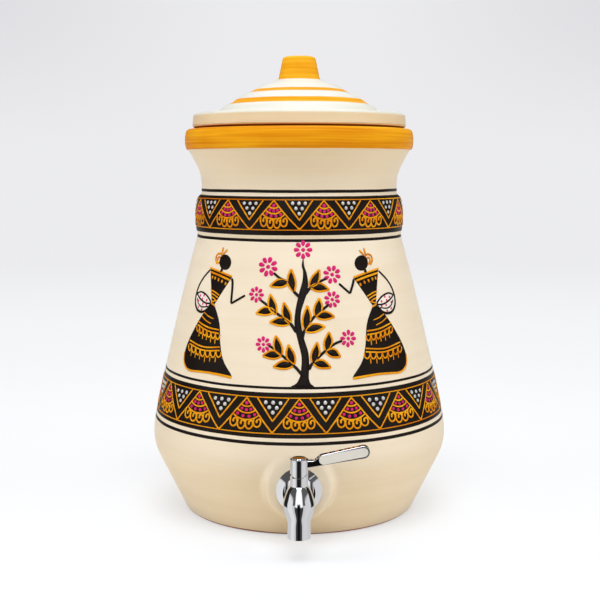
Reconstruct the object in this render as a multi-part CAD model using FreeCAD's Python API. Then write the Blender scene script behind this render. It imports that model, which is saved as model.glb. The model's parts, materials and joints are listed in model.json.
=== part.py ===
"""Clay water pot with a lid and a chrome lever tap, as separate pieces in one frame.

Lengths are in millimetres and angles in degrees. The origin is at the centre of the pot's
flat base, +Z is up, the tap faces -Y and its closed lever points to +X.
"""
import FreeCAD, Part
import math
import os

V = FreeCAD.Vector

# How far a cutting tool runs past what it cuts
CUT_PAST = 1.0

# Pot, turned on a wheel
BASE_RADIUS = 95.5
BASE_ROUND = 4.4
BELLY_RADIUS = 125.6
BELLY_HEIGHT = 65.0
LOWER_BELLY_ROUND = 38.0
UPPER_BELLY_ROUND = 71.0
SHOULDER_BULGE = 1.3
WAIST_RADIUS = 86.3
WAIST_HEIGHT = 234.6
NECK_RADIUS = 82.8
NECK_HEIGHT = 36.2
NECK_STRAIGHT = 9.0
NECK_FLARE_EASE = 0.36
NECK_FLARE_LEAN = 0.52
WALL = 8.5
FLOOR_THICKNESS = 10.0
FLOOR_CORNER_ROUND = 12.0

# Raised belt round the pot's waist
BELT_HEIGHT = 33.8
BELT_EDGE_RELIEF = 0.8
BELT_CROWN_RELIEF = 1.8
BELT_EDGE_CHAMFER = 3.4

# Rolled rim round the mouth
RIM_HEIGHT = 17.2
RIM_RADIUS = 96.5
RIM_CROWN_DROP = 0.8
RIM_FOOT_LEDGE = 2.2
RIM_LOWER_ROUND = 1.8
RIM_UPPER_ROUND = 3.2
MOUTH_RADIUS = 80.5
MOUTH_ROUND = 3.0

# Flat pads for the tap, outside and inside the wall
TAP_HEIGHT = 45.0
PAD_RADIUS = 27.5
PAD_ROUND = 4.0
PAD_DRAFT = 3.0
PAD_INSET = 0.4
PAD_GRIP = 18.0
INNER_PAD_MARGIN = 3.0
SHANK_HOLE_CLEARANCE = 0.7

# Lid
LID_SEAT_GAP = 0.3
LID_RADIUS = 90.0
LID_EDGE_HEIGHT = 12.7
LID_EDGE_TAPER = 0.5
LID_EDGE_LOWER_ROUND = 1.6
LID_EDGE_UPPER_ROUND = 2.6
LEDGE_RISE = 1.5
DOME_RADIUS = 66.5
DOME_HEIGHT = 27.3
DOME_FOOT_WIDTH = 6.0
DOME_FOOT_RISE = 5.7
DOME_BULGE = 1.6
LID_WALL = 7.5
SKIRT_CLEARANCE = 3.0
SKIRT_DEPTH = 13.0
KNOB_BASE_RADIUS = 17.4
KNOB_TOP_RADIUS = 14.0
KNOB_HEIGHT = 18.8
KNOB_TOP_ROUND = 2.6
KNOB_CROWN = 0.6

# Tap body
FLANGE_RADIUS = 17.6
FLANGE_DEPTH = 4.5
FLANGE_EDGE = 1.2
COLLAR_RADIUS = 12.4
COLLAR_LENGTH = 4.0
STUB_RADIUS = 10.6
STUB_LENGTH = 21.3
BULB_RADIUS = 11.85
BULB_DROP = 3.0
BULB_SHOULDER_BULGE = 1.1
BULB_SHOULDER_LEAN = 49.0
SPOUT_RADIUS = 8.65
SPOUT_LENGTH = 27.0
SPOUT_STRAIGHT = 10.4
SPOUT_BORE_RADIUS = 6.6
TAP_NECK_RADIUS = 6.65
TAP_NECK_LENGTH = 9.2
TAP_NECK_TOP = 21.5

# Valve inside the tap
BALL_RADIUS = 7.0
PORT_RADIUS = 3.2
BALL_CHAMBER_CLEARANCE = 0.4
SEAT_CLEARANCE = 0.1
SEAT_BORE_CLEARANCE = 0.3
SEAT_DEPTH = 3.9
SEAT_OVERLAP = 1.9
OUTLET_SEAT_RADIUS = 4.8
OUTLET_SEAT_DEPTH = 3.5
THROAT_LENGTH = 3.0
SPINDLE_RADIUS = 4.4
SPINDLE_CLEARANCE = 0.08
STEM_RADIUS = 3.0
TANG_THICKNESS = 2.4
TANG_DEPTH = 2.2
TANG_CLEARANCE = 0.1
O_RING_SECTION = 1.2
O_RING_SPACING = 2.6
O_RING_GROOVE_WIDTH = 1.45
THRUST_WASHER_THICKNESS = 0.8
GLAND_HEAD_RADIUS = 5.25
GLAND_HEAD_THICKNESS = 2.1
GLAND_CLEARANCE = 0.05

# Lever
HUB_HEIGHT = 10.7
HUB_GAP = 0.12
TONGUE_DROP = 2.2
TONGUE_TIP_WIDTH = 4.4
TONGUE_ROOT_WIDTH = 10.6
TONGUE_CLEARANCE = 0.35
TONGUE_INNER_GAP = 0.05
LEVER_SWING = 90.0
LEVER_LENGTH = 52.0
LEVER_THICKNESS = 5.5
LEVER_LOW_EDGE = 3.7
LEVER_LOW_ANGLE = 9.6
LEVER_ROOT_HEIGHT = 6.2
LEVER_ROOT_LENGTH = 9.2
PADDLE_START = 17.0
PADDLE_START_HEIGHT = 7.8
PADDLE_END_HEIGHT = 9.4
LEVER_EDGE_ROUND = 0.5
PLATE_LENGTH = 36.6
PLATE_HEIGHT = 6.8
PLATE_THICKNESS = 0.6
PLATE_RECESS = 0.4
PLATE_CLEARANCE = 0.1
SCREW_HEAD_RADIUS = 5.6
SCREW_HEAD_HEIGHT = 2.6
SCREW_HEAD_CHAMFER = 0.4
SCREW_SHANK_RADIUS = 1.5
SCREW_SHANK_LENGTH = 4.5
SCREW_NOTCHES = 12
SCREW_NOTCH_RADIUS = 0.55
SCREW_PROUD = 1.0
SCREW_HOLE_SPARE = 1.0
STEM_TOP_GAP = 0.3

# Shank through the wall and what clamps it
SHANK_RADIUS = 8.3
SHANK_BORE_RADIUS = 5.0
SHANK_TAIL = 4.5
SHANK_CHAMFER = 1.0
THREAD_CLEARANCE = 0.1
OUTER_GASKET_THICKNESS = 2.0
OUTER_GASKET_RADIUS = 16.4
INNER_GASKET_THICKNESS = 3.0
INNER_GASKET_RADIUS = 15.0
WASHER_THICKNESS = 1.5
WASHER_RADIUS = 14.5
NUT_ACROSS_FLATS = 24.0
NUT_THICKNESS = 7.0
NUT_CHAMFER = 1.6

# Places that follow from the sizes above
BELT_TOP = WAIST_HEIGHT + BELT_HEIGHT
RIM_FOOT = BELT_TOP + NECK_HEIGHT
POT_HEIGHT = RIM_FOOT + RIM_HEIGHT
PAD_FACE_Y = -(BELLY_RADIUS - PAD_INSET)
INNER_PAD_Y = PAD_FACE_Y + PAD_GRIP
GASKET_FRONT_Y = PAD_FACE_Y - OUTER_GASKET_THICKNESS
FLANGE_FRONT_Y = GASKET_FRONT_Y - FLANGE_DEPTH
COLLAR_FRONT_Y = FLANGE_FRONT_Y - COLLAR_LENGTH
TAP_Y = COLLAR_FRONT_Y - STUB_LENGTH
NECK_TOP_Z = TAP_HEIGHT + TAP_NECK_TOP
SEAT_REACH = BALL_RADIUS + SEAT_DEPTH - SEAT_OVERLAP
SHANK_FRONT_Y = TAP_Y + SEAT_REACH
GASKET_BACK_Y = INNER_PAD_Y + INNER_GASKET_THICKNESS
WASHER_BACK_Y = GASKET_BACK_Y + WASHER_THICKNESS
NUT_BACK_Y = WASHER_BACK_Y + NUT_THICKNESS
SHANK_BACK_Y = NUT_BACK_Y + SHANK_TAIL
CHAMBER_RADIUS = BALL_RADIUS + BALL_CHAMBER_CLEARANCE
NECK_BORE_RADIUS = SPINDLE_RADIUS + SPINDLE_CLEARANCE
GLAND_SEAT_Z = NECK_TOP_Z - TONGUE_DROP - TONGUE_CLEARANCE
GLAND_POCKET_RADIUS = GLAND_HEAD_RADIUS + GLAND_CLEARANCE
HUB_LOW_Z = NECK_TOP_Z + HUB_GAP
HUB_TOP_Z = HUB_LOW_Z + HUB_HEIGHT
SCREW_SEAT_Z = HUB_TOP_Z + SCREW_PROUD - SCREW_HEAD_HEIGHT
LID_SEAT_Z = POT_HEIGHT + LID_SEAT_GAP
LEDGE_EDGE_Z = LID_SEAT_Z + LID_EDGE_HEIGHT
DOME_FOOT_Z = LEDGE_EDGE_Z + LEDGE_RISE
KNOB_FOOT_Z = DOME_FOOT_Z + DOME_HEIGHT
SKIRT_RADIUS = MOUTH_RADIUS - SKIRT_CLEARANCE


class Outline:
    """A closed outline of lines and arcs in a plane, drawn point after point."""

    def __init__(self, start, place):
        self.place = place
        self.first = start
        self.last = start
        self.edges = []

    def line_to(self, *points):
        """Draws straight lines through the given points."""
        for point in points:
            segment = Part.LineSegment(self.place(self.last), self.place(point))
            self.edges.append(segment.toShape())
            self.last = point
        return self

    def arc_to(self, middle, end):
        """Draws one arc through a middle point to its end."""
        arc = Part.Arc(self.place(self.last), self.place(middle), self.place(end))
        self.edges.append(arc.toShape())
        self.last = end
        return self

    def curve_to(self, leave, arrive, end):
        """Draws a smooth curve that leaves and arrives along two handles."""
        curve = Part.BezierCurve()
        curve.setPoles([self.place(point) for point in (self.last, leave, arrive, end)])
        self.edges.append(curve.toShape())
        self.last = end
        return self

    def spline_to(self, points, leave, arrive):
        """Draws one smooth curve through points, with the directions of its two ends."""
        origin = self.place((0.0, 0.0))
        curve = Part.BSplineCurve()
        curve.interpolate(Points=[self.place(point) for point in (self.last, *points)],
                          InitialTangent=self.place(leave) - origin,
                          FinalTangent=self.place(arrive) - origin)
        self.edges.append(curve.toShape())
        self.last = points[-1]
        return self

    def face(self):
        """Closes the outline with a straight line and fills it."""
        if self.last != self.first:
            self.line_to(self.first)
        return Part.Face(Part.Wire(self.edges))


def turned_outline(start):
    """An outline of (radius, height) points about the pot's upright axis."""
    return Outline(start, lambda point: V(point[0], 0, point[1]))


def tap_outline(start):
    """An outline of (radius, height) points about the tap's upright axis."""
    return Outline(start, lambda point: V(point[0], TAP_Y, point[1]))


def shank_outline(start):
    """An outline of (radius, y) points about the tap's level axis."""
    return Outline(start, lambda point: V(point[0], point[1], TAP_HEIGHT))


def front_outline(start, y):
    """An outline of (x, z) points in an upright plane that faces the tap's front."""
    return Outline(start, lambda point: V(point[0], y, point[1]))


def spin_about_pot(outline):
    """Turns an outline into a solid about the pot's axis."""
    return outline.face().revolve(V(0, 0, 0), V(0, 0, 1), 360)


def spin_about_tap(outline):
    """Turns an outline into a solid about the tap's upright axis."""
    return outline.face().revolve(V(0, TAP_Y, 0), V(0, 0, 1), 360)


def spin_about_shank(outline):
    """Turns an outline into a solid about the tap's level axis."""
    return outline.face().revolve(V(0, 0, TAP_HEIGHT), V(0, 1, 0), 360)


def level_rod(radius, y_from, y_to):
    """A solid rod on the tap's level axis."""
    return Part.makeCylinder(radius, y_to - y_from, V(0, y_from, TAP_HEIGHT), V(0, 1, 0))


def level_ring(inner, outer, y_from, y_to):
    """A flat ring on the tap's level axis."""
    return level_rod(outer, y_from, y_to).cut(level_rod(inner, y_from - CUT_PAST, y_to + CUT_PAST))


def upright_rod(radius, z_from, z_to):
    """A solid rod on the tap's upright axis."""
    return Part.makeCylinder(radius, z_to - z_from, V(0, TAP_Y, z_from))


def upright_ring(inner, outer, z_from, z_to):
    """A ring on the tap's upright axis."""
    hole = upright_rod(inner, z_from - CUT_PAST, z_to + CUT_PAST)
    return upright_rod(outer, z_from, z_to).cut(hole)


def tangent_ends(centre_a, round_a, centre_b, round_b):
    """Where the line that touches two circles on their outer side meets each of them.

    A round of 0 is a point.
    """
    across = centre_b[0] - centre_a[0]
    up = centre_b[1] - centre_a[1]
    turn = math.acos((round_a - round_b) / math.hypot(across, up))
    normal = math.atan2(up, across) - turn
    touch_a = (centre_a[0] + round_a * math.cos(normal), centre_a[1] + round_a * math.sin(normal))
    touch_b = (centre_b[0] + round_b * math.cos(normal), centre_b[1] + round_b * math.sin(normal))
    return touch_a, touch_b


def on_circle(centre, radius, angle):
    """The point at an angle on a circle, in radians from the outward direction."""
    return (centre[0] + radius * math.cos(angle), centre[1] + radius * math.sin(angle))


def between(start, end, centre, radius):
    """The middle of the short arc of a circle between two of its points."""
    first = math.atan2(start[1] - centre[1], start[0] - centre[0])
    last = math.atan2(end[1] - centre[1], end[0] - centre[0])
    return on_circle(centre, radius, (first + last) / 2)


def bulged_middle(start, end, bulge):
    """The middle of a shallow arc that stands out from its chord by a bulge."""
    across = end[0] - start[0]
    up = end[1] - start[1]
    length = math.hypot(across, up)
    middle = ((start[0] + end[0]) / 2, (start[1] + end[1]) / 2)
    return (middle[0] + bulge * up / length, middle[1] - bulge * across / length)


def corner_middle(centre, radius, degrees):
    """The middle of a rounded corner, at an angle from the outward direction."""
    return on_circle(centre, radius, math.radians(degrees))


def pot_outside():
    """The solid outer form of the pot, up to the top of its rim."""
    base_centre = (BASE_RADIUS, BASE_ROUND)
    lower_centre = (BELLY_RADIUS - LOWER_BELLY_ROUND, BELLY_HEIGHT)
    upper_centre = (BELLY_RADIUS - UPPER_BELLY_ROUND, BELLY_HEIGHT)
    waist = (WAIST_RADIUS, WAIST_HEIGHT)
    flare_low, flare_high = tangent_ends(base_centre, BASE_ROUND, lower_centre, LOWER_BELLY_ROUND)
    shoulder_low, _ = tangent_ends(upper_centre, UPPER_BELLY_ROUND, waist, 0.0)
    belly = (BELLY_RADIUS, BELLY_HEIGHT)

    belt_low = (WAIST_RADIUS + BELT_EDGE_RELIEF, WAIST_HEIGHT + BELT_EDGE_RELIEF)
    belt_crown = (WAIST_RADIUS + BELT_CROWN_RELIEF, WAIST_HEIGHT + BELT_HEIGHT / 2)
    belt_high = (NECK_RADIUS + BELT_EDGE_CHAMFER, BELT_TOP - BELT_EDGE_CHAMFER)

    flare_ease = NECK_FLARE_EASE * (NECK_HEIGHT - NECK_STRAIGHT)
    neck_head = (NECK_RADIUS, BELT_TOP + NECK_STRAIGHT)
    rim_foot = (RIM_RADIUS - RIM_CROWN_DROP - RIM_FOOT_LEDGE, RIM_FOOT)
    flare_leave = (NECK_RADIUS, neck_head[1] + flare_ease)
    flare_arrive = (rim_foot[0] - NECK_FLARE_LEAN * flare_ease, RIM_FOOT - flare_ease)

    face_radius = RIM_RADIUS - RIM_CROWN_DROP
    lower_corner = (face_radius - RIM_LOWER_ROUND, RIM_FOOT + RIM_LOWER_ROUND)
    upper_corner = (face_radius - RIM_UPPER_ROUND, POT_HEIGHT - RIM_UPPER_ROUND)

    path = turned_outline((0.0, 0.0))
    path.line_to((BASE_RADIUS, 0.0))
    path.arc_to(between((BASE_RADIUS, 0.0), flare_low, base_centre, BASE_ROUND), flare_low)
    path.line_to(flare_high)
    path.arc_to(between(flare_high, belly, lower_centre, LOWER_BELLY_ROUND), belly)
    path.arc_to(between(belly, shoulder_low, upper_centre, UPPER_BELLY_ROUND), shoulder_low)
    path.arc_to(bulged_middle(shoulder_low, waist, SHOULDER_BULGE), waist)
    path.line_to(belt_low)
    path.arc_to(belt_crown, belt_high)
    path.line_to((NECK_RADIUS, BELT_TOP), neck_head)
    path.curve_to(flare_leave, flare_arrive, rim_foot)
    path.line_to((lower_corner[0], RIM_FOOT))
    path.arc_to(corner_middle(lower_corner, RIM_LOWER_ROUND, -45), (face_radius, lower_corner[1]))
    path.arc_to((RIM_RADIUS, (lower_corner[1] + upper_corner[1]) / 2), (face_radius, upper_corner[1]))
    path.arc_to(corner_middle(upper_corner, RIM_UPPER_ROUND, 45), (upper_corner[0], POT_HEIGHT))
    path.line_to((0.0, POT_HEIGHT))
    return spin_about_pot(path)


def pot_chamber():
    """The space inside the pot, out through its mouth."""
    floor_centre = (BASE_RADIUS - WALL, FLOOR_THICKNESS + FLOOR_CORNER_ROUND)
    floor_edge = (floor_centre[0], FLOOR_THICKNESS)
    lower_centre = (BELLY_RADIUS - LOWER_BELLY_ROUND, BELLY_HEIGHT)
    upper_centre = (BELLY_RADIUS - UPPER_BELLY_ROUND, BELLY_HEIGHT)
    lower_round = LOWER_BELLY_ROUND - WALL
    upper_round = UPPER_BELLY_ROUND - WALL
    belly = (BELLY_RADIUS - WALL, BELLY_HEIGHT)
    waist = (WAIST_RADIUS - WALL, WAIST_HEIGHT)
    neck_foot = (NECK_RADIUS - WALL, BELT_TOP)
    neck_head = (NECK_RADIUS - WALL, BELT_TOP + NECK_STRAIGHT)
    mouth_foot = (MOUTH_RADIUS, RIM_FOOT)
    mouth_corner = (MOUTH_RADIUS + MOUTH_ROUND, POT_HEIGHT - MOUTH_ROUND)
    above_rim = POT_HEIGHT + MOUTH_ROUND

    flare_low, flare_high = tangent_ends(floor_centre, FLOOR_CORNER_ROUND, lower_centre, lower_round)
    shoulder_low, _ = tangent_ends(upper_centre, upper_round, waist, 0.0)

    path = turned_outline((0.0, FLOOR_THICKNESS))
    path.line_to(floor_edge)
    path.arc_to(between(floor_edge, flare_low, floor_centre, FLOOR_CORNER_ROUND), flare_low)
    path.line_to(flare_high)
    path.arc_to(between(flare_high, belly, lower_centre, lower_round), belly)
    path.arc_to(between(belly, shoulder_low, upper_centre, upper_round), shoulder_low)
    path.arc_to(bulged_middle(shoulder_low, waist, SHOULDER_BULGE), waist)
    path.line_to(neck_foot, neck_head, mouth_foot)
    path.line_to((MOUTH_RADIUS, mouth_corner[1]))
    path.arc_to(corner_middle(mouth_corner, MOUTH_ROUND, 135), (mouth_corner[0], POT_HEIGHT))
    path.line_to((mouth_corner[0], above_rim), (0.0, above_rim))
    return spin_about_pot(path)


def outer_pad():
    """The flat clay pad outside the wall that the tap's gasket presses on."""
    path = shank_outline((0.0, PAD_FACE_Y))
    path.line_to((PAD_RADIUS - PAD_ROUND, PAD_FACE_Y))
    corner = (PAD_RADIUS - PAD_ROUND, PAD_FACE_Y + PAD_ROUND)
    path.arc_to(corner_middle(corner, PAD_ROUND, -45), (PAD_RADIUS, corner[1]))
    path.line_to((PAD_RADIUS + PAD_DRAFT, INNER_PAD_Y), (0.0, INNER_PAD_Y))
    return spin_about_shank(path)


def pot_body():
    """The fired clay pot, with its pads and the hole for the tap."""
    inner_pad_radius = INNER_GASKET_RADIUS + INNER_PAD_MARGIN
    outside = pot_outside().fuse(outer_pad())
    shell = outside.cut(pot_chamber())
    shell = shell.fuse(level_rod(inner_pad_radius, PAD_FACE_Y + PAD_ROUND, INNER_PAD_Y))
    shell = shell.cut(level_rod(inner_pad_radius, INNER_PAD_Y, INNER_PAD_Y + PAD_GRIP))
    shell = shell.cut(level_rod(PAD_RADIUS - PAD_ROUND, PAD_FACE_Y - PAD_GRIP, PAD_FACE_Y))
    hole = SHANK_RADIUS + SHANK_HOLE_CLEARANCE
    shell = shell.cut(level_rod(hole, PAD_FACE_Y - CUT_PAST, INNER_PAD_Y + CUT_PAST))
    return shell.removeSplitter()


def lid():
    """The clay lid: a dome on a flat ledge, with a knob and a skirt that centres it."""
    edge_low = (LID_RADIUS - LID_EDGE_LOWER_ROUND, LID_SEAT_Z + LID_EDGE_LOWER_ROUND)
    edge_top = LID_RADIUS - LID_EDGE_TAPER
    edge_high = (edge_top - LID_EDGE_UPPER_ROUND, LEDGE_EDGE_Z - LID_EDGE_UPPER_ROUND)
    dome_foot = (DOME_RADIUS, DOME_FOOT_Z)
    dome_low = (DOME_RADIUS - DOME_FOOT_WIDTH, DOME_FOOT_Z + DOME_FOOT_RISE)
    knob_foot = (KNOB_BASE_RADIUS, KNOB_FOOT_Z)
    knob_top_z = KNOB_FOOT_Z + KNOB_HEIGHT
    knob_corner = (KNOB_TOP_RADIUS - KNOB_TOP_ROUND, knob_top_z - KNOB_TOP_ROUND)
    skirt_inner = SKIRT_RADIUS - LID_WALL
    skirt_low = LID_SEAT_Z - SKIRT_DEPTH
    skirt_corner = (SKIRT_RADIUS - LID_WALL / 2, skirt_low + LID_WALL / 2)
    roof_low = (dome_low[0] - LID_WALL / 2, dome_low[1] - LID_WALL)
    roof_high = (0.0, KNOB_FOOT_Z - LID_WALL)

    path = turned_outline((SKIRT_RADIUS, LID_SEAT_Z))
    path.line_to((edge_low[0], LID_SEAT_Z))
    path.arc_to(corner_middle(edge_low, LID_EDGE_LOWER_ROUND, -45), (LID_RADIUS, edge_low[1]))
    path.line_to((edge_top, edge_high[1]))
    path.arc_to(corner_middle(edge_high, LID_EDGE_UPPER_ROUND, 45), (edge_high[0], LEDGE_EDGE_Z))
    path.line_to(dome_foot)
    path.arc_to(bulged_middle(dome_foot, dome_low, DOME_BULGE / 2), dome_low)
    path.arc_to(bulged_middle(dome_low, knob_foot, DOME_BULGE), knob_foot)
    path.line_to((KNOB_TOP_RADIUS, knob_corner[1]))
    path.arc_to(corner_middle(knob_corner, KNOB_TOP_ROUND, 45), (knob_corner[0], knob_top_z))
    path.line_to((0.0, knob_top_z + KNOB_CROWN))
    path.line_to(roof_high)
    path.arc_to(bulged_middle(roof_low, roof_high, DOME_BULGE), roof_low)
    path.line_to((skirt_inner, LID_SEAT_Z), (skirt_inner, skirt_corner[1]))
    path.arc_to((skirt_corner[0], skirt_low), (SKIRT_RADIUS, skirt_corner[1]))
    return spin_about_pot(path)


def outer_gasket():
    """The soft ring between the flange and the pot's outer pad."""
    hole = SHANK_RADIUS + THREAD_CLEARANCE
    return level_ring(hole, OUTER_GASKET_RADIUS, GASKET_FRONT_Y, PAD_FACE_Y)


def wall_flange():
    """The chrome escutcheon: a flat rim and a cone that rises to the tap's collar."""
    hole = SHANK_RADIUS + THREAD_CLEARANCE
    path = shank_outline((hole, GASKET_FRONT_Y))
    path.line_to((FLANGE_RADIUS, GASKET_FRONT_Y), (FLANGE_RADIUS, GASKET_FRONT_Y - FLANGE_EDGE))
    path.line_to((COLLAR_RADIUS, FLANGE_FRONT_Y), (hole, FLANGE_FRONT_Y))
    return spin_about_shank(path)


def inlet_shank():
    """The threaded tube that carries the water through the wall."""
    path = shank_outline((SHANK_BORE_RADIUS, SHANK_FRONT_Y))
    end_radius = SHANK_RADIUS - SHANK_CHAMFER
    path.line_to((end_radius, SHANK_FRONT_Y), (SHANK_RADIUS, SHANK_FRONT_Y + SHANK_CHAMFER))
    path.line_to((SHANK_RADIUS, SHANK_BACK_Y - SHANK_CHAMFER), (end_radius, SHANK_BACK_Y))
    path.line_to((SHANK_BORE_RADIUS, SHANK_BACK_Y))
    return spin_about_shank(path)


def inner_gasket():
    """The soft ring against the pot's inner pad."""
    hole = SHANK_RADIUS + THREAD_CLEARANCE
    return level_ring(hole, INNER_GASKET_RADIUS, INNER_PAD_Y, GASKET_BACK_Y)


def inner_washer():
    """The flat ring that the nut turns on."""
    hole = SHANK_RADIUS + THREAD_CLEARANCE
    return level_ring(hole, WASHER_RADIUS, GASKET_BACK_Y, WASHER_BACK_Y)


def lock_nut():
    """A hexagon nut with its corners turned off at both ends."""
    corner_radius = NUT_ACROSS_FLATS / 2 / math.cos(math.radians(30))
    corners = []
    for side in range(7):
        angle = math.radians(60 * side)
        corners.append(V(corner_radius * math.cos(angle), WASHER_BACK_Y,
                         TAP_HEIGHT + corner_radius * math.sin(angle)))
    hexagon = Part.Face(Part.makePolygon(corners)).extrude(V(0, NUT_THICKNESS, 0))
    reach = corner_radius + CUT_PAST
    inset = NUT_ACROSS_FLATS / 2
    path = shank_outline((0.0, WASHER_BACK_Y))
    path.line_to((inset, WASHER_BACK_Y), (reach, WASHER_BACK_Y + NUT_CHAMFER))
    path.line_to((reach, NUT_BACK_Y - NUT_CHAMFER), (inset, NUT_BACK_Y), (0.0, NUT_BACK_Y))
    blank = hexagon.common(spin_about_shank(path))
    hole = SHANK_RADIUS + THREAD_CLEARANCE
    return blank.cut(level_rod(hole, WASHER_BACK_Y - CUT_PAST, NUT_BACK_Y + CUT_PAST))


def tap_shell():
    """The outer form of the tap body: neck, bulb and spout about the upright axis."""
    outlet_z = TAP_HEIGHT - SPOUT_LENGTH
    spout_top = (SPOUT_RADIUS, outlet_z + SPOUT_STRAIGHT)
    bulb = (BULB_RADIUS, TAP_HEIGHT - BULB_DROP)
    neck_foot = (TAP_NECK_RADIUS, NECK_TOP_Z - TAP_NECK_LENGTH)
    waist = ((BULB_RADIUS + SPOUT_RADIUS) / 2, (bulb[1] + spout_top[1]) / 2)
    shoulder = bulged_middle(bulb, neck_foot, BULB_SHOULDER_BULGE)
    lean = math.radians(BULB_SHOULDER_LEAN)
    path = tap_outline((0.0, outlet_z))
    path.line_to((SPOUT_RADIUS, outlet_z), spout_top)
    path.spline_to([waist, bulb, shoulder, neck_foot], (0.0, 1.0), (-math.sin(lean), math.cos(lean)))
    path.line_to((TAP_NECK_RADIUS, NECK_TOP_Z), (0.0, NECK_TOP_Z))
    return spin_about_tap(path)


def front_prism(drop, tip_width, root_width, reach):
    """A wedge under the hub, wide at the top, that stands out in front of the tap."""
    path = front_outline((-root_width / 2, HUB_LOW_Z), TAP_Y - reach)
    path.line_to((-tip_width / 2, NECK_TOP_Z - drop), (tip_width / 2, NECK_TOP_Z - drop))
    path.line_to((root_width / 2, HUB_LOW_Z))
    return path.face().extrude(V(0, reach, 0))


def stop_wedge(inner_radius, clearance):
    """A wedge of ring under the hub's front, wider all round by a clearance."""
    prism = front_prism(TONGUE_DROP + clearance, TONGUE_TIP_WIDTH + 2 * clearance,
                        TONGUE_ROOT_WIDTH + 4 * clearance, TAP_NECK_RADIUS + CUT_PAST)
    low = NECK_TOP_Z - TONGUE_DROP - clearance
    return upright_ring(inner_radius, TAP_NECK_RADIUS + clearance, low, HUB_LOW_Z).common(prism)


def stop_tongue():
    """The hub's tongue, which lies outside the gland bush."""
    return stop_wedge(GLAND_POCKET_RADIUS + TONGUE_INNER_GAP, 0.0)


def stop_notch():
    """The cut in the neck's top that the tongue swings through from closed to open."""
    closed = stop_wedge(GLAND_HEAD_RADIUS, TONGUE_CLEARANCE)
    opened = closed.copy()
    opened.rotate(V(0, TAP_Y, 0), V(0, 0, 1), -LEVER_SWING)
    height = NECK_TOP_Z + CUT_PAST - GLAND_SEAT_Z
    sector = Part.makeCylinder(TAP_NECK_RADIUS + CUT_PAST, height, V(0, TAP_Y, GLAND_SEAT_Z),
                               V(0, 0, 1), LEVER_SWING)
    sector.rotate(V(0, TAP_Y, 0), V(0, 0, 1), -90 - LEVER_SWING)
    core = upright_rod(GLAND_HEAD_RADIUS, GLAND_SEAT_Z - CUT_PAST, NECK_TOP_Z + 2 * CUT_PAST)
    return closed.fuse([opened, sector.cut(core)])


def tap_body():
    """The cast tap body, bored for the ball, the spindle, the shank and the outlet."""
    outlet_z = TAP_HEIGHT - SPOUT_LENGTH
    seat_floor_z = TAP_HEIGHT - SEAT_REACH
    outside = tap_shell()
    outside = outside.fuse(level_rod(STUB_RADIUS, TAP_Y, COLLAR_FRONT_Y))
    outside = outside.fuse(level_rod(COLLAR_RADIUS, COLLAR_FRONT_Y, FLANGE_FRONT_Y))
    ball_chamber = Part.makeSphere(CHAMBER_RADIUS, V(0, TAP_Y, TAP_HEIGHT))
    ball_chamber = ball_chamber.fuse(level_rod(CHAMBER_RADIUS, TAP_Y, SHANK_FRONT_Y))
    socket = level_rod(SHANK_RADIUS + THREAD_CLEARANCE, SHANK_FRONT_Y, FLANGE_FRONT_Y + CUT_PAST)
    seat_pocket = upright_rod(OUTLET_SEAT_RADIUS + SEAT_CLEARANCE, seat_floor_z, TAP_HEIGHT)
    throat_low = seat_floor_z - THROAT_LENGTH
    throat = Part.makeCone(SPOUT_BORE_RADIUS, PORT_RADIUS, THROAT_LENGTH, V(0, TAP_Y, throat_low))
    outlet = upright_rod(SPOUT_BORE_RADIUS, outlet_z - CUT_PAST, throat_low)
    neck_bore = upright_rod(NECK_BORE_RADIUS, TAP_HEIGHT, NECK_TOP_Z + CUT_PAST)
    gland_pocket = upright_rod(GLAND_POCKET_RADIUS, GLAND_SEAT_Z, NECK_TOP_Z + CUT_PAST)
    cuts = [ball_chamber, socket, seat_pocket, throat, outlet, neck_bore, gland_pocket, stop_notch()]
    body = outside
    for tool in cuts:
        body = body.cut(tool)
    return body


def inlet_seat():
    """The seat ring behind the ball, pressed forward by the shank."""
    front_y = SHANK_FRONT_Y - SEAT_DEPTH
    bore = PORT_RADIUS + SEAT_BORE_CLEARANCE
    ring = level_ring(bore, CHAMBER_RADIUS - SEAT_CLEARANCE, front_y, SHANK_FRONT_Y)
    return ring.cut(Part.makeSphere(BALL_RADIUS + SEAT_CLEARANCE, V(0, TAP_Y, TAP_HEIGHT)))


def outlet_seat():
    """The seat ring under the ball, in a pocket above the spout."""
    low_z = TAP_HEIGHT - SEAT_REACH
    bore = PORT_RADIUS + SEAT_BORE_CLEARANCE
    ring = upright_ring(bore, OUTLET_SEAT_RADIUS, low_z, low_z + OUTLET_SEAT_DEPTH)
    return ring.cut(Part.makeSphere(BALL_RADIUS + SEAT_CLEARANCE, V(0, TAP_Y, TAP_HEIGHT)))


def valve_ball():
    """The ball with an elbow port: down to the spout, and sideways to the wall when closed."""
    ball = Part.makeSphere(BALL_RADIUS, V(0, TAP_Y, TAP_HEIGHT))
    port_reach = BALL_RADIUS + CUT_PAST
    down = upright_rod(PORT_RADIUS, TAP_HEIGHT - port_reach, TAP_HEIGHT)
    side = Part.makeCylinder(PORT_RADIUS, port_reach, V(0, TAP_Y, TAP_HEIGHT), V(-1, 0, 0))
    elbow = Part.makeSphere(PORT_RADIUS, V(0, TAP_Y, TAP_HEIGHT))
    slot_width = TANG_THICKNESS + 2 * TANG_CLEARANCE
    slot = Part.makeBox(2 * BALL_RADIUS, slot_width, BALL_RADIUS,
                        V(-BALL_RADIUS, TAP_Y - slot_width / 2, TAP_HEIGHT + BALL_RADIUS - TANG_DEPTH))
    return ball.cut(down.fuse([side, elbow])).cut(slot)


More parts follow.
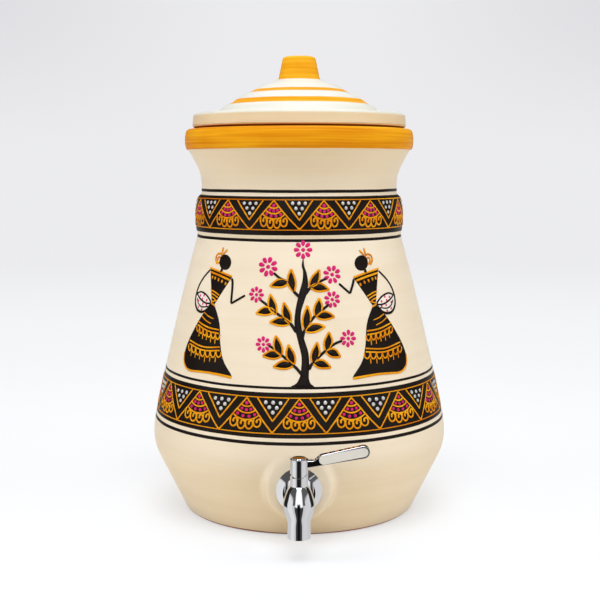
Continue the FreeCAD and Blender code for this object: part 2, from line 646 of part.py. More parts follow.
def spindle_levels():
    """The heights of the spindle's shoulder, bottom and top."""
    bottom = TAP_HEIGHT + BALL_RADIUS + 2 * TANG_CLEARANCE
    gland_foot = GLAND_SEAT_Z - GLAND_HEAD_THICKNESS
    top = gland_foot - THRUST_WASHER_THICKNESS - TANG_CLEARANCE
    return bottom, top


def spindle():
    """The spindle: a tang in the ball's slot, a shoulder with two grooves, and a stem."""
    bottom, shoulder_top = spindle_levels()
    shoulder = upright_rod(SPINDLE_RADIUS, bottom, shoulder_top)
    stem_top = SCREW_SEAT_Z - STEM_TOP_GAP
    stem = upright_rod(STEM_RADIUS, shoulder_top, stem_top)
    tang_length = 2 * (SPINDLE_RADIUS - TANG_CLEARANCE)
    tang_low = TAP_HEIGHT + BALL_RADIUS - TANG_DEPTH + TANG_CLEARANCE
    tang = Part.makeBox(tang_length, TANG_THICKNESS, bottom - tang_low,
                        V(-tang_length / 2, TAP_Y - TANG_THICKNESS / 2, tang_low))
    shape = shoulder.fuse([stem, tang])
    groove_radius = SPINDLE_RADIUS - O_RING_SECTION + SPINDLE_CLEARANCE
    half_groove = O_RING_GROOVE_WIDTH / 2
    for height in o_ring_heights():
        shape = shape.cut(upright_ring(groove_radius, SPINDLE_RADIUS + CUT_PAST,
                                       height - half_groove, height + half_groove))
    hole_low = SCREW_SEAT_Z - SCREW_SHANK_LENGTH - SCREW_HOLE_SPARE
    return shape.cut(upright_rod(SCREW_SHANK_RADIUS + THREAD_CLEARANCE, hole_low, stem_top + CUT_PAST))


def o_ring_heights():
    """The heights of the lower and upper grooves on the spindle's shoulder."""
    bottom, top = spindle_levels()
    middle = (bottom + top) / 2
    return (middle - O_RING_SPACING / 2, middle + O_RING_SPACING / 2)


def o_ring(height):
    """A soft ring in one of the spindle's grooves."""
    section = O_RING_SECTION / 2 - SPINDLE_CLEARANCE / 2
    centre_radius = SPINDLE_RADIUS - section
    return Part.makeTorus(centre_radius, section, V(0, TAP_Y, height))


def thrust_washer():
    """The slip ring between the spindle's shoulder and the gland bush."""
    low = GLAND_SEAT_Z - GLAND_HEAD_THICKNESS - THRUST_WASHER_THICKNESS
    return upright_ring(STEM_RADIUS + SPINDLE_CLEARANCE, SPINDLE_RADIUS, low,
                        low + THRUST_WASHER_THICKNESS)


def gland_bush():
    """The flanged bush that holds the spindle down in the neck."""
    foot = GLAND_SEAT_Z - GLAND_HEAD_THICKNESS
    sleeve = upright_rod(SPINDLE_RADIUS, foot, GLAND_SEAT_Z)
    head = upright_rod(GLAND_HEAD_RADIUS, GLAND_SEAT_Z, NECK_TOP_Z)
    bush = sleeve.fuse(head)
    hole = upright_rod(STEM_RADIUS + SPINDLE_CLEARANCE, foot - CUT_PAST, NECK_TOP_Z + CUT_PAST)
    return bush.cut(hole)


def lever_height_at(x):
    """The height of the lever's lower edge at a distance from the tap's axis."""
    return NECK_TOP_Z + LEVER_LOW_EDGE + x * math.tan(math.radians(LEVER_LOW_ANGLE))


def paddle_line():
    """The two ends of the paddle's middle line."""
    end_radius = PADDLE_END_HEIGHT / 2
    end_x = LEVER_LENGTH - end_radius
    start = (PADDLE_START, lever_height_at(PADDLE_START) + PADDLE_START_HEIGHT / 2)
    end = (end_x, lever_height_at(end_x) + end_radius)
    return start, end


def lever_arm():
    """The arm and its paddle, cut from flat bar and rounded at the end."""
    half = LEVER_THICKNESS / 2
    start, end = paddle_line()
    root_low = lever_height_at(0.0)
    root_high = root_low + LEVER_ROOT_HEIGHT
    tilt = math.atan2(end[1] - start[1], end[0] - start[0])
    end_radius = PADDLE_END_HEIGHT / 2
    tip_low = on_circle(end, end_radius, tilt - math.pi / 2)
    tip_high = on_circle(end, end_radius, tilt + math.pi / 2)
    tip = on_circle(end, end_radius, tilt)
    paddle_high = (PADDLE_START, start[1] + PADDLE_START_HEIGHT / 2)
    path = front_outline((0.0, root_low), TAP_Y - half)
    path.line_to(tip_low)
    path.arc_to(tip, tip_high)
    path.line_to(paddle_high)
    handle = (PADDLE_START - LEVER_ROOT_LENGTH) / 2
    leave = on_circle(paddle_high, handle, tilt + math.pi)
    path.curve_to(leave, (LEVER_ROOT_LENGTH + handle, root_high), (LEVER_ROOT_LENGTH, root_high))
    path.line_to((0.0, root_high))
    bar = path.face().extrude(V(0, LEVER_THICKNESS, 0))
    rims = [edge for edge in bar.Edges if abs(edge.BoundBox.YLength) < LEVER_EDGE_ROUND / 2]
    long_rims = [edge for edge in rims if edge.BoundBox.XMax > TAP_NECK_RADIUS]
    return bar.makeFillet(LEVER_EDGE_ROUND, long_rims)


def plate_outline_solid(length, height, y_front, thickness):
    """A flat bar with round ends that lies along the paddle's middle line."""
    start, end = paddle_line()
    tilt = math.atan2(end[1] - start[1], end[0] - start[0])
    half = height / 2
    run = length - height
    tail = (end[0] - run * math.cos(tilt), end[1] - run * math.sin(tilt))
    path = front_outline(on_circle(tail, half, tilt - math.pi / 2), y_front)
    path.line_to(on_circle(end, half, tilt - math.pi / 2))
    path.arc_to(on_circle(end, half, tilt), on_circle(end, half, tilt + math.pi / 2))
    path.line_to(on_circle(tail, half, tilt + math.pi / 2))
    path.arc_to(on_circle(tail, half, tilt + math.pi), path.first)
    return path.face().extrude(V(0, thickness, 0))


def lever():
    """The lever: a hub with its stop tongue, and the arm with a recess for the plate."""
    front_y = TAP_Y - LEVER_THICKNESS / 2
    hub = upright_rod(TAP_NECK_RADIUS, HUB_LOW_Z, HUB_TOP_Z)
    shape = hub.fuse([lever_arm(), stop_tongue()])
    head_radius = SCREW_HEAD_RADIUS + THREAD_CLEARANCE
    shape = shape.cut(upright_rod(head_radius, SCREW_SEAT_Z, HUB_TOP_Z + CUT_PAST))
    shape = shape.cut(upright_rod(STEM_RADIUS + THREAD_CLEARANCE / 2, HUB_LOW_Z - CUT_PAST, HUB_TOP_Z))
    recess = plate_outline_solid(PLATE_LENGTH + 2 * PLATE_CLEARANCE, PLATE_HEIGHT + 2 * PLATE_CLEARANCE,
                                 front_y - CUT_PAST, CUT_PAST + PLATE_RECESS)
    return shape.cut(recess)


def lever_plate():
    """The bare plate let into the paddle's front."""
    front_y = TAP_Y - LEVER_THICKNESS / 2 + PLATE_RECESS - PLATE_THICKNESS
    return plate_outline_solid(PLATE_LENGTH, PLATE_HEIGHT, front_y, PLATE_THICKNESS)


def lever_screw():
    """The notched screw that holds the lever on the spindle."""
    top = SCREW_SEAT_Z + SCREW_HEAD_HEIGHT
    path = tap_outline((0.0, SCREW_SEAT_Z))
    path.line_to((SCREW_HEAD_RADIUS, SCREW_SEAT_Z), (SCREW_HEAD_RADIUS, top - SCREW_HEAD_CHAMFER))
    path.line_to((SCREW_HEAD_RADIUS - SCREW_HEAD_CHAMFER, top), (0.0, top))
    head = spin_about_tap(path)
    for step in range(SCREW_NOTCHES):
        angle = 2 * math.pi * step / SCREW_NOTCHES
        centre = V(SCREW_HEAD_RADIUS * math.cos(angle), TAP_Y + SCREW_HEAD_RADIUS * math.sin(angle),
                   SCREW_SEAT_Z - CUT_PAST)
        head = head.cut(Part.makeCylinder(SCREW_NOTCH_RADIUS, SCREW_HEAD_HEIGHT + 2 * CUT_PAST, centre))
    shank = upright_rod(SCREW_SHANK_RADIUS, SCREW_SEAT_Z - SCREW_SHANK_LENGTH, SCREW_SEAT_Z + CUT_PAST)
    return head.fuse(shank)


def pieces():
    """Every separate piece under the name of its node."""
    lower_ring_z, upper_ring_z = o_ring_heights()
    return {
        "pot_body": pot_body(),
        "lid": lid(),
        "outer_gasket": outer_gasket(),
        "wall_flange": wall_flange(),
        "inlet_shank": inlet_shank(),
        "inner_gasket": inner_gasket(),
        "inner_washer": inner_washer(),
        "lock_nut": lock_nut(),
        "tap_body": tap_body(),
        "inlet_seat": inlet_seat(),
        "outlet_seat": outlet_seat(),
        "valve_ball": valve_ball(),
        "spindle": spindle(),
        "lower_o_ring": o_ring(lower_ring_z),
        "upper_o_ring": o_ring(upper_ring_z),
        "thrust_washer": thrust_washer(),
        "gland_bush": gland_bush(),
        "lever": lever(),
        "lever_screw": lever_screw(),
        "lever_plate": lever_plate(),
    }


os.makedirs("parts", exist_ok=True)
for name, shape in pieces().items():
    box = shape.BoundBox
    print(f"{name:14s} solids {len(shape.Solids)} valid {shape.isValid()} volume {shape.Volume:.1f} "
          f"x {box.XMin:.1f} {box.XMax:.1f} y {box.YMin:.1f} {box.YMax:.1f} z {box.ZMin:.1f} {box.ZMax:.1f}")
    shape.exportStep(f"parts/{name}.step")
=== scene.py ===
"""Looks of a painted clay water pot with a lid and a chrome lever tap, in a plain studio.

Meshes are in metres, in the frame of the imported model: the origin is at the centre of the pot's
flat base, +Z is up, the tap faces -Y and its closed lever points to +X. Outlines and drawings are
in millimetres. A drawing's first coordinate runs round the pot from the line over the tap, and
its second is the height above the base.
"""

import json
import logging
import math
from collections.abc import Callable, Iterable, Sequence
from dataclasses import dataclass, field
from enum import Enum

import bmesh
import bpy
import numpy as np
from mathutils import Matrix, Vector


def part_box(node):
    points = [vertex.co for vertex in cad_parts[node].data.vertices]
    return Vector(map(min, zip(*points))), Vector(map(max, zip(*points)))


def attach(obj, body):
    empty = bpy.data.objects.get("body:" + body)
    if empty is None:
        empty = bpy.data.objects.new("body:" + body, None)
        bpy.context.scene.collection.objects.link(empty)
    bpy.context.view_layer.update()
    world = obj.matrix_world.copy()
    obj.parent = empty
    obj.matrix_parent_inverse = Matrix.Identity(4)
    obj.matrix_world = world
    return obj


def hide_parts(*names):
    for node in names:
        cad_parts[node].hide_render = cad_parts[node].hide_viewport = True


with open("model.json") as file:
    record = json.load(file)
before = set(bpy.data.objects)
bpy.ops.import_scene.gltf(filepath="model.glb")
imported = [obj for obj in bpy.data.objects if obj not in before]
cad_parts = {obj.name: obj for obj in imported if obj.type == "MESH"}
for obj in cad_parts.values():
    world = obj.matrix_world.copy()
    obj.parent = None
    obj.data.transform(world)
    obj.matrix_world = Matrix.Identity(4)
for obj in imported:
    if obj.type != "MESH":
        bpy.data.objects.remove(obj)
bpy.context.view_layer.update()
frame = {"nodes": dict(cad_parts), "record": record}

LOG = logging.getLogger("water_pot")
MM = 0.001
TOUCHING = 1e-6

Colour = tuple[float, float, float, float]
Point = tuple[float, float]
Socket = bpy.types.NodeSocket
Outputs = bpy.types.NodeOutputs


def srgb(red: int, green: int, blue: int) -> Colour:
    """Turns a screen colour into the linear colour that shaders use.

    Args:
        red: Red from 0 to 255.
        green: Green from 0 to 255.
        blue: Blue from 0 to 255.

    Returns:
        The linear colour with full opacity.
    """
    shares = (value / 255 for value in (red, green, blue))
    linear = (s / 12.92 if s <= 0.04045 else ((s + 0.055) / 1.055) ** 2.4 for s in shares)
    return (*linear, 1.0)


class Tree:
    """Short calls that add and join the nodes of a shader or geometry tree."""

    def __init__(self, tree: bpy.types.NodeTree) -> None:
        """Keeps the tree that the nodes go into."""
        self.tree = tree

    def feed(self, node: bpy.types.Node, inputs: dict) -> None:
        """Joins sockets to a node's inputs, or sets plain values on them.

        Args:
            node: The node.
            inputs: Sockets or plain values, by the name or number of the input.
        """
        for key, value in inputs.items():
            if isinstance(value, Socket):
                self.tree.links.new(value, node.inputs[key])
            else:
                node.inputs[key].default_value = value

    def add(self, kind: str, inputs: dict | None = None, **settings: object) -> bpy.types.Node:
        """Adds a node.

        Args:
            kind: The node's type.
            inputs: Sockets or plain values, by the name or number of the input.
            **settings: The node's own properties.

        Returns:
            The new node.
        """
        node = self.tree.nodes.new(kind)
        for name, value in settings.items():
            setattr(node, name, value)
        self.feed(node, inputs or {})
        return node

    def get(self, kind: str, inputs: dict | None = None, **settings: object) -> Socket:
        """Adds a node and returns its first output."""
        return self.add(kind, inputs, **settings).outputs[0]

    def math(self, operation: str, *values: object) -> Socket:
        """Works out one sum of sockets or numbers, such as ADD or MULTIPLY_ADD."""
        return self.get("ShaderNodeMath", dict(enumerate(values)), operation=operation)

    def vector(self, operation: str, *values: object) -> Socket:
        """Works out one sum of vectors. A socket that holds a number stands for three of it."""
        return self.get("ShaderNodeVectorMath", dict(enumerate(values)), operation=operation)

    def combine(self, x: object, y: object, z: object) -> Socket:
        """Makes a vector of three sockets or numbers."""
        return self.get("ShaderNodeCombineXYZ", {0: x, 1: y, 2: z})

    def remap(self, value: object, low: float, high: float) -> Socket:
        """Maps a value from 0 to 1 onto low to high."""
        return self.get("ShaderNodeMapRange", {"Value": value, "To Min": low, "To Max": high})

    def mix(self, share: object, first: object, second: object) -> Socket:
        """Mixes two numbers by a share from 0 to 1."""
        return self.get("ShaderNodeMix", {0: share, 2: first, 3: second})

    def mix_colours(self, share: object, first: object, second: object) -> Socket:
        """Mixes two colours by a share from 0 to 1."""
        inputs = {0: share, 6: first, 7: second}
        return self.add("ShaderNodeMix", inputs, data_type="RGBA").outputs[2]


def group_tree(name: str, kind: str, inputs: dict[str, tuple],
               outputs: dict[str, str]) -> tuple[Tree, Outputs]:
    """Makes a node group with named sockets.

    Args:
        name: The group's name.
        kind: ShaderNodeTree or GeometryNodeTree.
        inputs: The type and the default, if it has one, of each input by name.
        outputs: The type of each output by name.

    Returns:
        The group's tree, and the sockets that give its inputs.
    """
    group = bpy.data.node_groups.new(name, kind)
    for label, (socket_type, *default) in inputs.items():
        socket = group.interface.new_socket(label, in_out="INPUT", socket_type=socket_type)
        if default:
            socket.default_value = default[0]
    for label, socket_type in outputs.items():
        group.interface.new_socket(label, in_out="OUTPUT", socket_type=socket_type)
    tree = Tree(group)
    return tree, tree.add("NodeGroupInput").outputs


class ShaderGroups:
    """The effects that several finishes share. Each gives a height for bumps and a slow tone."""

    STREAKS = "wheel_streaks"
    GRAIN = "fine_grain"

    def __init__(self) -> None:
        """Builds every group once."""
        self._build_streaks()
        self._build_grain()

    def _build_streaks(self) -> None:
        """Marks that run round the pot, as a brush or a rib leaves them on the wheel."""
        tree, given, place = self._start(self.STREAKS, Pitch=500.0, Length=10.0)
        scale = tree.combine(given["Length"], given["Length"], given["Pitch"])
        self._end(tree, tree.vector("MULTIPLY", place, scale), (1.0, 3.0), (0.13, 2.0))

    def _build_grain(self) -> None:
        """Small even bumps and a slow change of tone."""
        tree, given, place = self._start(self.GRAIN, Grains=1200.0, Patches=18.0)
        self._end(tree, place, (given["Grains"], 2.0), (given["Patches"], 3.0))

    @staticmethod
    def _start(name: str, **inputs: float) -> tuple[Tree, Outputs, Socket]:
        """Makes a group.

        Args:
            name: The group's name.
            **inputs: The default of each of its inputs.

        Returns:
            The group's tree, its inputs and the place on the object.
        """
        sockets = {label: ("NodeSocketFloat", value) for label, value in inputs.items()}
        results = {"Height": "NodeSocketFloat", "Tone": "NodeSocketFloat"}
        tree, given = group_tree(name, "ShaderNodeTree", sockets, results)
        return tree, given, tree.add("ShaderNodeTexCoord").outputs["Object"]

    @staticmethod
    def _end(tree: Tree, place: Socket, fine: tuple, broad: tuple) -> None:
        """Ends a group with its two noises.

        Args:
            tree: The group's tree.
            place: The place at which the noises are read.
            fine: Scale and detail of the noise that gives the height.
            broad: Scale and detail of the noise that gives the tone.
        """
        results = {}
        for label, (scale, detail) in (("Height", fine), ("Tone", broad)):
            noise = {"Vector": place, "Scale": scale, "Detail": detail}
            results[label] = tree.get("ShaderNodeTexNoise", noise)
        tree.add("NodeGroupOutput", results)


class Finish:
    """What every finish shares: one material by name, built when it is first asked for."""

    name: str

    def material(self) -> bpy.types.Material:
        """Finds the finish's material, and builds it the first time.

        Returns:
            The material.
        """
        known = bpy.data.materials.get(self.name)
        if known:
            return known
        material = bpy.data.materials.new(self.name)
        material.use_nodes = True
        self._dress(Tree(material.node_tree), material.node_tree.nodes["Principled BSDF"])
        return material

    def _dress(self, tree: Tree, shader: bpy.types.Node) -> None:
        """Joins the finish's nodes to its shader."""
        raise NotImplementedError

    @staticmethod
    def _group(tree: Tree, name: str, **inputs: float) -> Outputs:
        """Places a shared effect in a material and returns its outputs."""
        return tree.add("ShaderNodeGroup", inputs, node_tree=bpy.data.node_groups[name]).outputs

    @staticmethod
    def _surface(tree: Tree, shader: bpy.types.Node, colour: Socket, rough: Socket,
                 height: Socket, depth: float) -> None:
        """Feeds a colour, a roughness and a bump of that depth in metres to a shader."""
        bump = tree.get("ShaderNodeBump", {"Height": height, "Distance": depth, "Strength": 1.0})
        tree.feed(shader, {"Base Color": colour, "Roughness": rough, "Normal": bump})


@dataclass(frozen=True)
class PaintFinish(Finish):
    """Hand-brushed paint on the turned clay.

    Attributes:
        name: The material's name.
        colour: The paint where it is thick.
        thin: The paint where it is thin.
        roughness: The shine, from 0, a mirror, to 1, matt.
        streak_depth: How deep the brush marks are, in metres.
        streak_share: How much the fine marks show in the colour.
        specular: How strongly its surface shines.
        metallic: The share of metal flakes in it.
        coat: The share of clear varnish.
    """

    name: str
    colour: Colour
    thin: Colour
    roughness: float
    streak_depth: float = 0.00003
    streak_share: float = 0.15
    specular: float = 0.25
    metallic: float = 0.0
    coat: float = 0.0

    STREAK_PITCH = 520.0
    STREAK_LENGTH = 9.0
    GRAINS = 900.0
    PATCHES = 14.0
    THINNEST = (0.14, 0.38)
    THICKEST = (0.38, 0.62)
    SHINE_CHANGE = 0.07
    GRAIN_SHARE = 0.35
    COAT_ROUGHNESS = 0.22

    def _dress(self, tree: Tree, shader: bpy.types.Node) -> None:
        """Puts brush marks in the colour, the shine and the surface.

        Args:
            tree: The material's tree.
            shader: Its shader.
        """
        streaks = self._group(tree, ShaderGroups.STREAKS, Pitch=self.STREAK_PITCH,
                              Length=self.STREAK_LENGTH)
        grain = self._group(tree, ShaderGroups.GRAIN, Grains=self.GRAINS, Patches=self.PATCHES)
        tone = tree.math("MULTIPLY", streaks["Tone"], grain["Tone"])
        marks = tree.math("MULTIPLY_ADD", streaks["Height"], self.streak_share, tone)
        low, high = (base + change * self.streak_share
                     for base, change in (self.THINNEST, self.THICKEST))
        limits = {"Value": marks, "From Min": low, "From Max": high}
        share = tree.get("ShaderNodeMapRange", limits)
        rough = tree.remap(grain["Tone"], self.roughness - self.SHINE_CHANGE,
                           self.roughness + self.SHINE_CHANGE)
        height = tree.math("MULTIPLY_ADD", grain["Height"], self.GRAIN_SHARE, streaks["Height"])
        self._surface(tree, shader, tree.mix_colours(share, self.thin, self.colour), rough,
                      height, self.streak_depth)
        tree.feed(shader, {"Specular IOR Level": self.specular, "Metallic": self.metallic,
                           "Coat Weight": self.coat, "Coat Roughness": self.COAT_ROUGHNESS})


@dataclass(frozen=True)
class MetalFinish(Finish):
    """Plated, turned or polished metal.

    Attributes:
        name: The material's name.
        colour: The material's colour.
        roughness: The shine where it is smoothest.
        spread: How much rougher it gets in patches.
        grain_depth: How deep its polishing lines or its moulded grain are, in metres.
        metallic: 1 for bare metal, and less where a clear matt lacquer covers it.
    """

    name: str
    colour: Colour
    roughness: float
    spread: float
    grain_depth: float
    metallic: float = 1.0

    GRAINS = 2600.0
    PATCHES = 70.0
    DARK_SHARE = 0.93

    def _dress(self, tree: Tree, shader: bpy.types.Node) -> None:
        """Puts a fine grain and patches in the colour, the shine and the surface.

        Args:
            tree: The material's tree.
            shader: Its shader.
        """
        grain = self._group(tree, ShaderGroups.GRAIN, Grains=self.GRAINS, Patches=self.PATCHES)
        darker = tuple(self.DARK_SHARE * part for part in self.colour[:3]) + (1.0,)
        rough = tree.remap(grain["Tone"], self.roughness, self.roughness + self.spread)
        self._surface(tree, shader, tree.mix_colours(grain["Tone"], darker, self.colour), rough,
                      grain["Height"], self.grain_depth)
        tree.feed(shader, {"Metallic": self.metallic})


@dataclass(frozen=True)
class SoftFinish(MetalFinish):
    """Rubber and soft plastics, which vary as metal does but don't shine like it.

    Attributes:
        spread: How much rougher it gets in patches.
        grain_depth: How deep its moulded grain is, in metres.
        metallic: 0, because it isn't metal.
    """

    spread: float = 0.10
    grain_depth: float = 0.00001
    metallic: float = 0.0

    GRAINS = 3000.0
    PATCHES = 120.0
    DARK_SHARE = 0.86


class Paint(Enum):
    """The paints and the bare clay of the pot."""

    CREAM = PaintFinish("cream_paint", srgb(246, 234, 216), srgb(239, 225, 202), 0.40,
                        streak_depth=0.00006)
    # A darker cream for the lid's side, which faces away from the light above: painted shade.
    SAND = PaintFinish("thin_cream_paint", srgb(240, 221, 190), srgb(230, 206, 168), 0.40,
                       streak_depth=0.00006)
    # A paler, whiter cream for what faces up on the lid: painted light from above.
    PALE = PaintFinish("pale_cream_paint", srgb(231, 229, 219), srgb(225, 221, 207), 0.40,
                       streak_depth=0.00006)
    OCHRE = PaintFinish("ochre_paint", srgb(211, 112, 0), srgb(248, 180, 30), 0.42,
                        streak_depth=0.00008, streak_share=0.9, specular=0.06)
    # A lighter, yellower copy of the ochre for the lid's knob and rings, which face up: partly the
    # paint's own washed look, partly painted highlight from the light above.
    AMBER = PaintFinish("thin_ochre_paint", srgb(231, 141, 0), srgb(250, 188, 45), 0.42,
                        streak_depth=0.00008, streak_share=0.9, specular=0.06)
    BLACK = PaintFinish("black_paint", srgb(20, 13, 10), srgb(30, 22, 18), 0.42, specular=0.15)
    PINK = PaintFinish("pink_paint", srgb(222, 32, 122), srgb(205, 24, 108), 0.38)
    PEARL = PaintFinish("pearl_paint", srgb(230, 230, 231), srgb(204, 206, 210), 0.22,
                        specular=0.5, metallic=0.25, coat=0.4)
    WHITE = PaintFinish("white_paint", srgb(246, 240, 232), srgb(238, 228, 218), 0.40)
    CLAY = PaintFinish("fired_clay", srgb(176, 104, 70), srgb(158, 90, 60), 0.82,
                       streak_depth=0.00015)


class Fitting(Enum):
    """The finishes of the tap and of what clamps it, by the record's material slots."""

    chrome_plate = MetalFinish("polished_chrome", srgb(232, 232, 235), 0.045, 0.03, 0.0000015)
    bare_plate = MetalFinish("satin_plate", srgb(240, 240, 241), 0.42, 0.10, 0.000001, 0.1)
    brass = MetalFinish("turned_brass", srgb(212, 172, 96), 0.24, 0.14, 0.000006)
    steel = MetalFinish("turned_steel", srgb(198, 198, 201), 0.26, 0.12, 0.000006)
    polished_ball = MetalFinish("mirror_ball", srgb(228, 228, 231), 0.04, 0.03, 0.000001)
    silicone = SoftFinish("soft_silicone", srgb(222, 219, 210), 0.50)
    ptfe = SoftFinish("waxy_white", srgb(240, 240, 237), 0.37)
    black_rubber = SoftFinish("moulded_rubber", srgb(32, 32, 33), 0.43)


class Outline:
    """Half of a turned shape's section as a fair line, in millimetres.

    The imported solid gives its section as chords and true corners. A hand-thrown pot has no chords
    and only soft corners, so the line is drawn again evenly and eased: little at the corners and
    small rounds, and more along the long curves.
    """

    STEP = 0.3
    CORNER_TURN = 3.5
    CORNER_EASE = 0.7
    CURVE_EASE = 2.5
    CORNER_REACH = 2.0
    BLEND = 5.0
    ON_AXIS = 0.01
    SHARPEST_STEP = 4.0

    def __init__(self, section: np.ndarray) -> None:
        """Draws the fair line.

        Args:
            section: The section's corners, as rows of radius and height.
        """
        chords = np.diff(section, axis=0)
        lengths = np.hypot(*chords.T)
        arc = np.concatenate([[0.0], np.cumsum(lengths)])
        heading = np.unwrap(np.arctan2(chords[:, 1], chords[:, 0]))
        turn = np.degrees(np.abs(np.diff(heading)))
        tightness = turn / ((lengths[1:] + lengths[:-1]) / 2)
        corners = arc[1:-1][tightness > self.CORNER_TURN]
        count = int(arc[-1] / self.STEP) + 1
        self.arc = np.linspace(0.0, arc[-1], count)
        even = np.column_stack([np.interp(self.arc, arc, section[:, i]) for i in (0, 1)])
        away = np.abs(self.arc[:, None] - corners[None, :]).min(axis=1)
        share = np.clip((away - self.CORNER_REACH) / self.BLEND, 0.0, 1.0)
        ease = self.CORNER_EASE + (self.CURVE_EASE - self.CORNER_EASE) * share
        self.points = self._eased(even, ease)
        self._find_normals()

    def _find_normals(self) -> None:
        """Works out the line's outward directions from its points, whichever way it runs."""
        tangent = np.gradient(self.points, self.arc, axis=0)
        tangent /= np.linalg.norm(tangent, axis=1)[:, None]
        side = np.sign(signed_area(self.points))
        self.normal = side * np.column_stack([tangent[:, 1], -tangent[:, 0]])

    def add_steps(self, crest: float, pitch: float, depth: float, start: float,
                  end: float) -> None:
        """Raises and lowers the upper side in soft rings, as a potter's rib leaves them.

        Args:
            crest: The radius of one crest.
            pitch: The distance from crest to crest.
            depth: Half the height from a valley to a crest.
            start: The radius where the rings begin to rise.
            end: The radius where they end.
        """
        fade_in, fade_out = 6.0, 4.0
        radius = self.points[:, 0]
        upper = np.arange(len(radius)) < int(np.argmax(radius))
        fade = smoothstep(radius, start, start + fade_in)
        fade = fade * (1 - smoothstep(radius, end - fade_out, end))
        wave = depth * np.cos((radius - crest) * 2 * math.pi / pitch)
        self.points[:, 1] += np.where(upper, fade * wave, 0.0)
        self._find_normals()

    def undercut(self, depth: float, reach: float) -> None:
        """Pares the underside away at the widest edge, so that a dark slot shows there.

        Args:
            depth: How much is pared at the very edge.
            reach: How far inwards the paring runs out.
        """
        rounding, fade = 1.0, 4.0
        radius, height = self.points[:, 0], self.points[:, 1]
        widest = radius.max()
        edge = radius > widest - reach
        under = edge & (np.arange(len(radius)) >= int(np.argmax(radius)))
        low = height[under].min()
        share = smoothstep(radius, widest - reach, widest - rounding)
        near = 1 - smoothstep(height, low + rounding, low + fade)
        self.points[:, 1] += np.where(under, depth * share * near, 0.0)
        self._find_normals()

    def _eased(self, points: np.ndarray, ease: np.ndarray) -> np.ndarray:
        """Averages each point with its neighbours, and keeps the two ends on the axis.

        Args:
            points: The points at even steps.
            ease: How far along the line each point is averaged.

        Returns:
            The new points.
        """
        step = self.arc[1]
        reach = int(3 * self.CURVE_EASE / step)
        mirrored_start = points[reach:0:-1] * (-1, 1)
        mirrored_end = points[-2:-reach - 2:-1] * (-1, 1)
        padded = np.concatenate([mirrored_start, points, mirrored_end])
        total = np.zeros_like(points)
        weights = np.zeros(len(points))
        for shift in range(-reach, reach + 1):
            weight = np.exp(-0.5 * (shift * step / ease) ** 2)
            total += weight[:, None] * padded[reach + shift:reach + shift + len(points)]
            weights += weight
        fair = total / weights[:, None]
        fair[[0, -1], 0] = 0.0
        return fair

    @classmethod
    def of_node(cls, node: str, from_top: bool) -> "Outline":
        """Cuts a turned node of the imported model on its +X side.

        Args:
            node: The node's name.
            from_top: Whether the line starts at its highest end on the axis.

        Returns:
            The node's outline, from axis to axis round the outside and back inside.
        """
        mesh = bmesh.new()
        mesh.from_mesh(frame["nodes"][node].data)
        bmesh.ops.remove_doubles(mesh, verts=mesh.verts, dist=TOUCHING)
        cut = bmesh.ops.bisect_plane(mesh, geom=mesh.verts[:] + mesh.edges[:] + mesh.faces[:],
                                     dist=TOUCHING, plane_co=(0, 0, 0), plane_no=(0, 1, 0))
        joined: dict[bmesh.types.BMVert, list[bmesh.types.BMVert]] = {}
        for edge in cut["geom_cut"]:
            if isinstance(edge, bmesh.types.BMEdge) and min(v.co.x for v in edge.verts) > -TOUCHING:
                first, second = edge.verts
                joined.setdefault(first, []).append(second)
                joined.setdefault(second, []).append(first)
        ends = sorted((v for v, others in joined.items() if len(others) == 1),
                      key=lambda v: v.co.z, reverse=from_top)
        last, here = None, ends[0]
        line = [here]
        while here is not ends[-1]:
            last, here = here, next(v for v in joined[here] if v is not last)
            line.append(here)
        points = [(v.co.x / MM, v.co.z / MM) for v in line]
        mesh.free()
        if points[0][0] > cls.ON_AXIS:
            points.insert(0, (0.0, points[0][1]))
        if points[-1][0] > cls.ON_AXIS:
            points.append((0.0, points[-1][1]))
        return cls(np.array(points))

    def at(self, arc: np.ndarray) -> tuple[np.ndarray, ...]:
        """Radius, height and outward normal at lengths along the line."""
        values = np.column_stack([self.points, self.normal]).T
        return tuple(np.interp(arc, self.arc, value) for value in values)

    def wall(self, heights: np.ndarray) -> tuple[np.ndarray, ...]:
        """Radius and outward normal of the outside at some heights.

        Args:
            heights: The heights.

        Returns:
            The radius and the two parts of the normal, outwards and up.
        """
        rising = slice(int(np.argmax(self.points[:, 1])))
        values = (self.points[rising, 0], *self.normal[rising].T)
        return tuple(np.interp(heights, self.points[rising, 1], value) for value in values)

    def arc_where(self, height: float, inside: bool = False) -> float:
        """Finds where the line is at a height.

        Args:
            height: The height.
            inside: Whether it is the way back down inside, and not the way up outside.

        Returns:
            The length along the line.
        """
        heights = self.points[:, 1]
        top = int(np.argmax(heights))
        if inside:
            return float(self.arc[top + int(np.argmax(heights[top:] <= height))])
        return float(self.arc[int(np.argmax(heights >= height))])

    def rows(self, longest: Callable[[float, float], float]) -> np.ndarray:
        """Chooses the lengths at which a mesh has its rows.

        Args:
            longest: Gives the longest step at a radius and height.

        Returns:
            The lengths of the rows, from the line's start to its end.
        """
        step = np.gradient(self.points, axis=0)
        heading = np.degrees(np.unwrap(np.arctan2(step[:, 1], step[:, 0])))
        chosen = [0]
        for index in range(1, len(self.arc) - 1):
            last = chosen[-1]
            far = self.arc[index] - self.arc[last] >= longest(*self.points[index])
            if far or abs(heading[index] - heading[last]) >= self.SHARPEST_STEP:
                chosen.append(index)
        return self.arc[np.array([*chosen, len(self.arc) - 1])]


def signed_area(points: np.ndarray) -> float:
    """The area inside a closed line on the flat, above 0 where it runs anticlockwise."""
    (across, up), (next_across, next_up) = points.T, np.roll(points, -1, axis=0).T
    return float(np.sum(across * next_up - next_across * up)) / 2


def linked(name: str, data: bpy.types.ID) -> bpy.types.Object:
    """Makes an object of a mesh, a light or a camera and puts it in the scene.

    Args:
        name: The object's name.
        data: What it holds.

    Returns:
        The object, at the origin.
    """
    made = bpy.data.objects.new(name, data)
    bpy.context.scene.collection.objects.link(made)
    return made


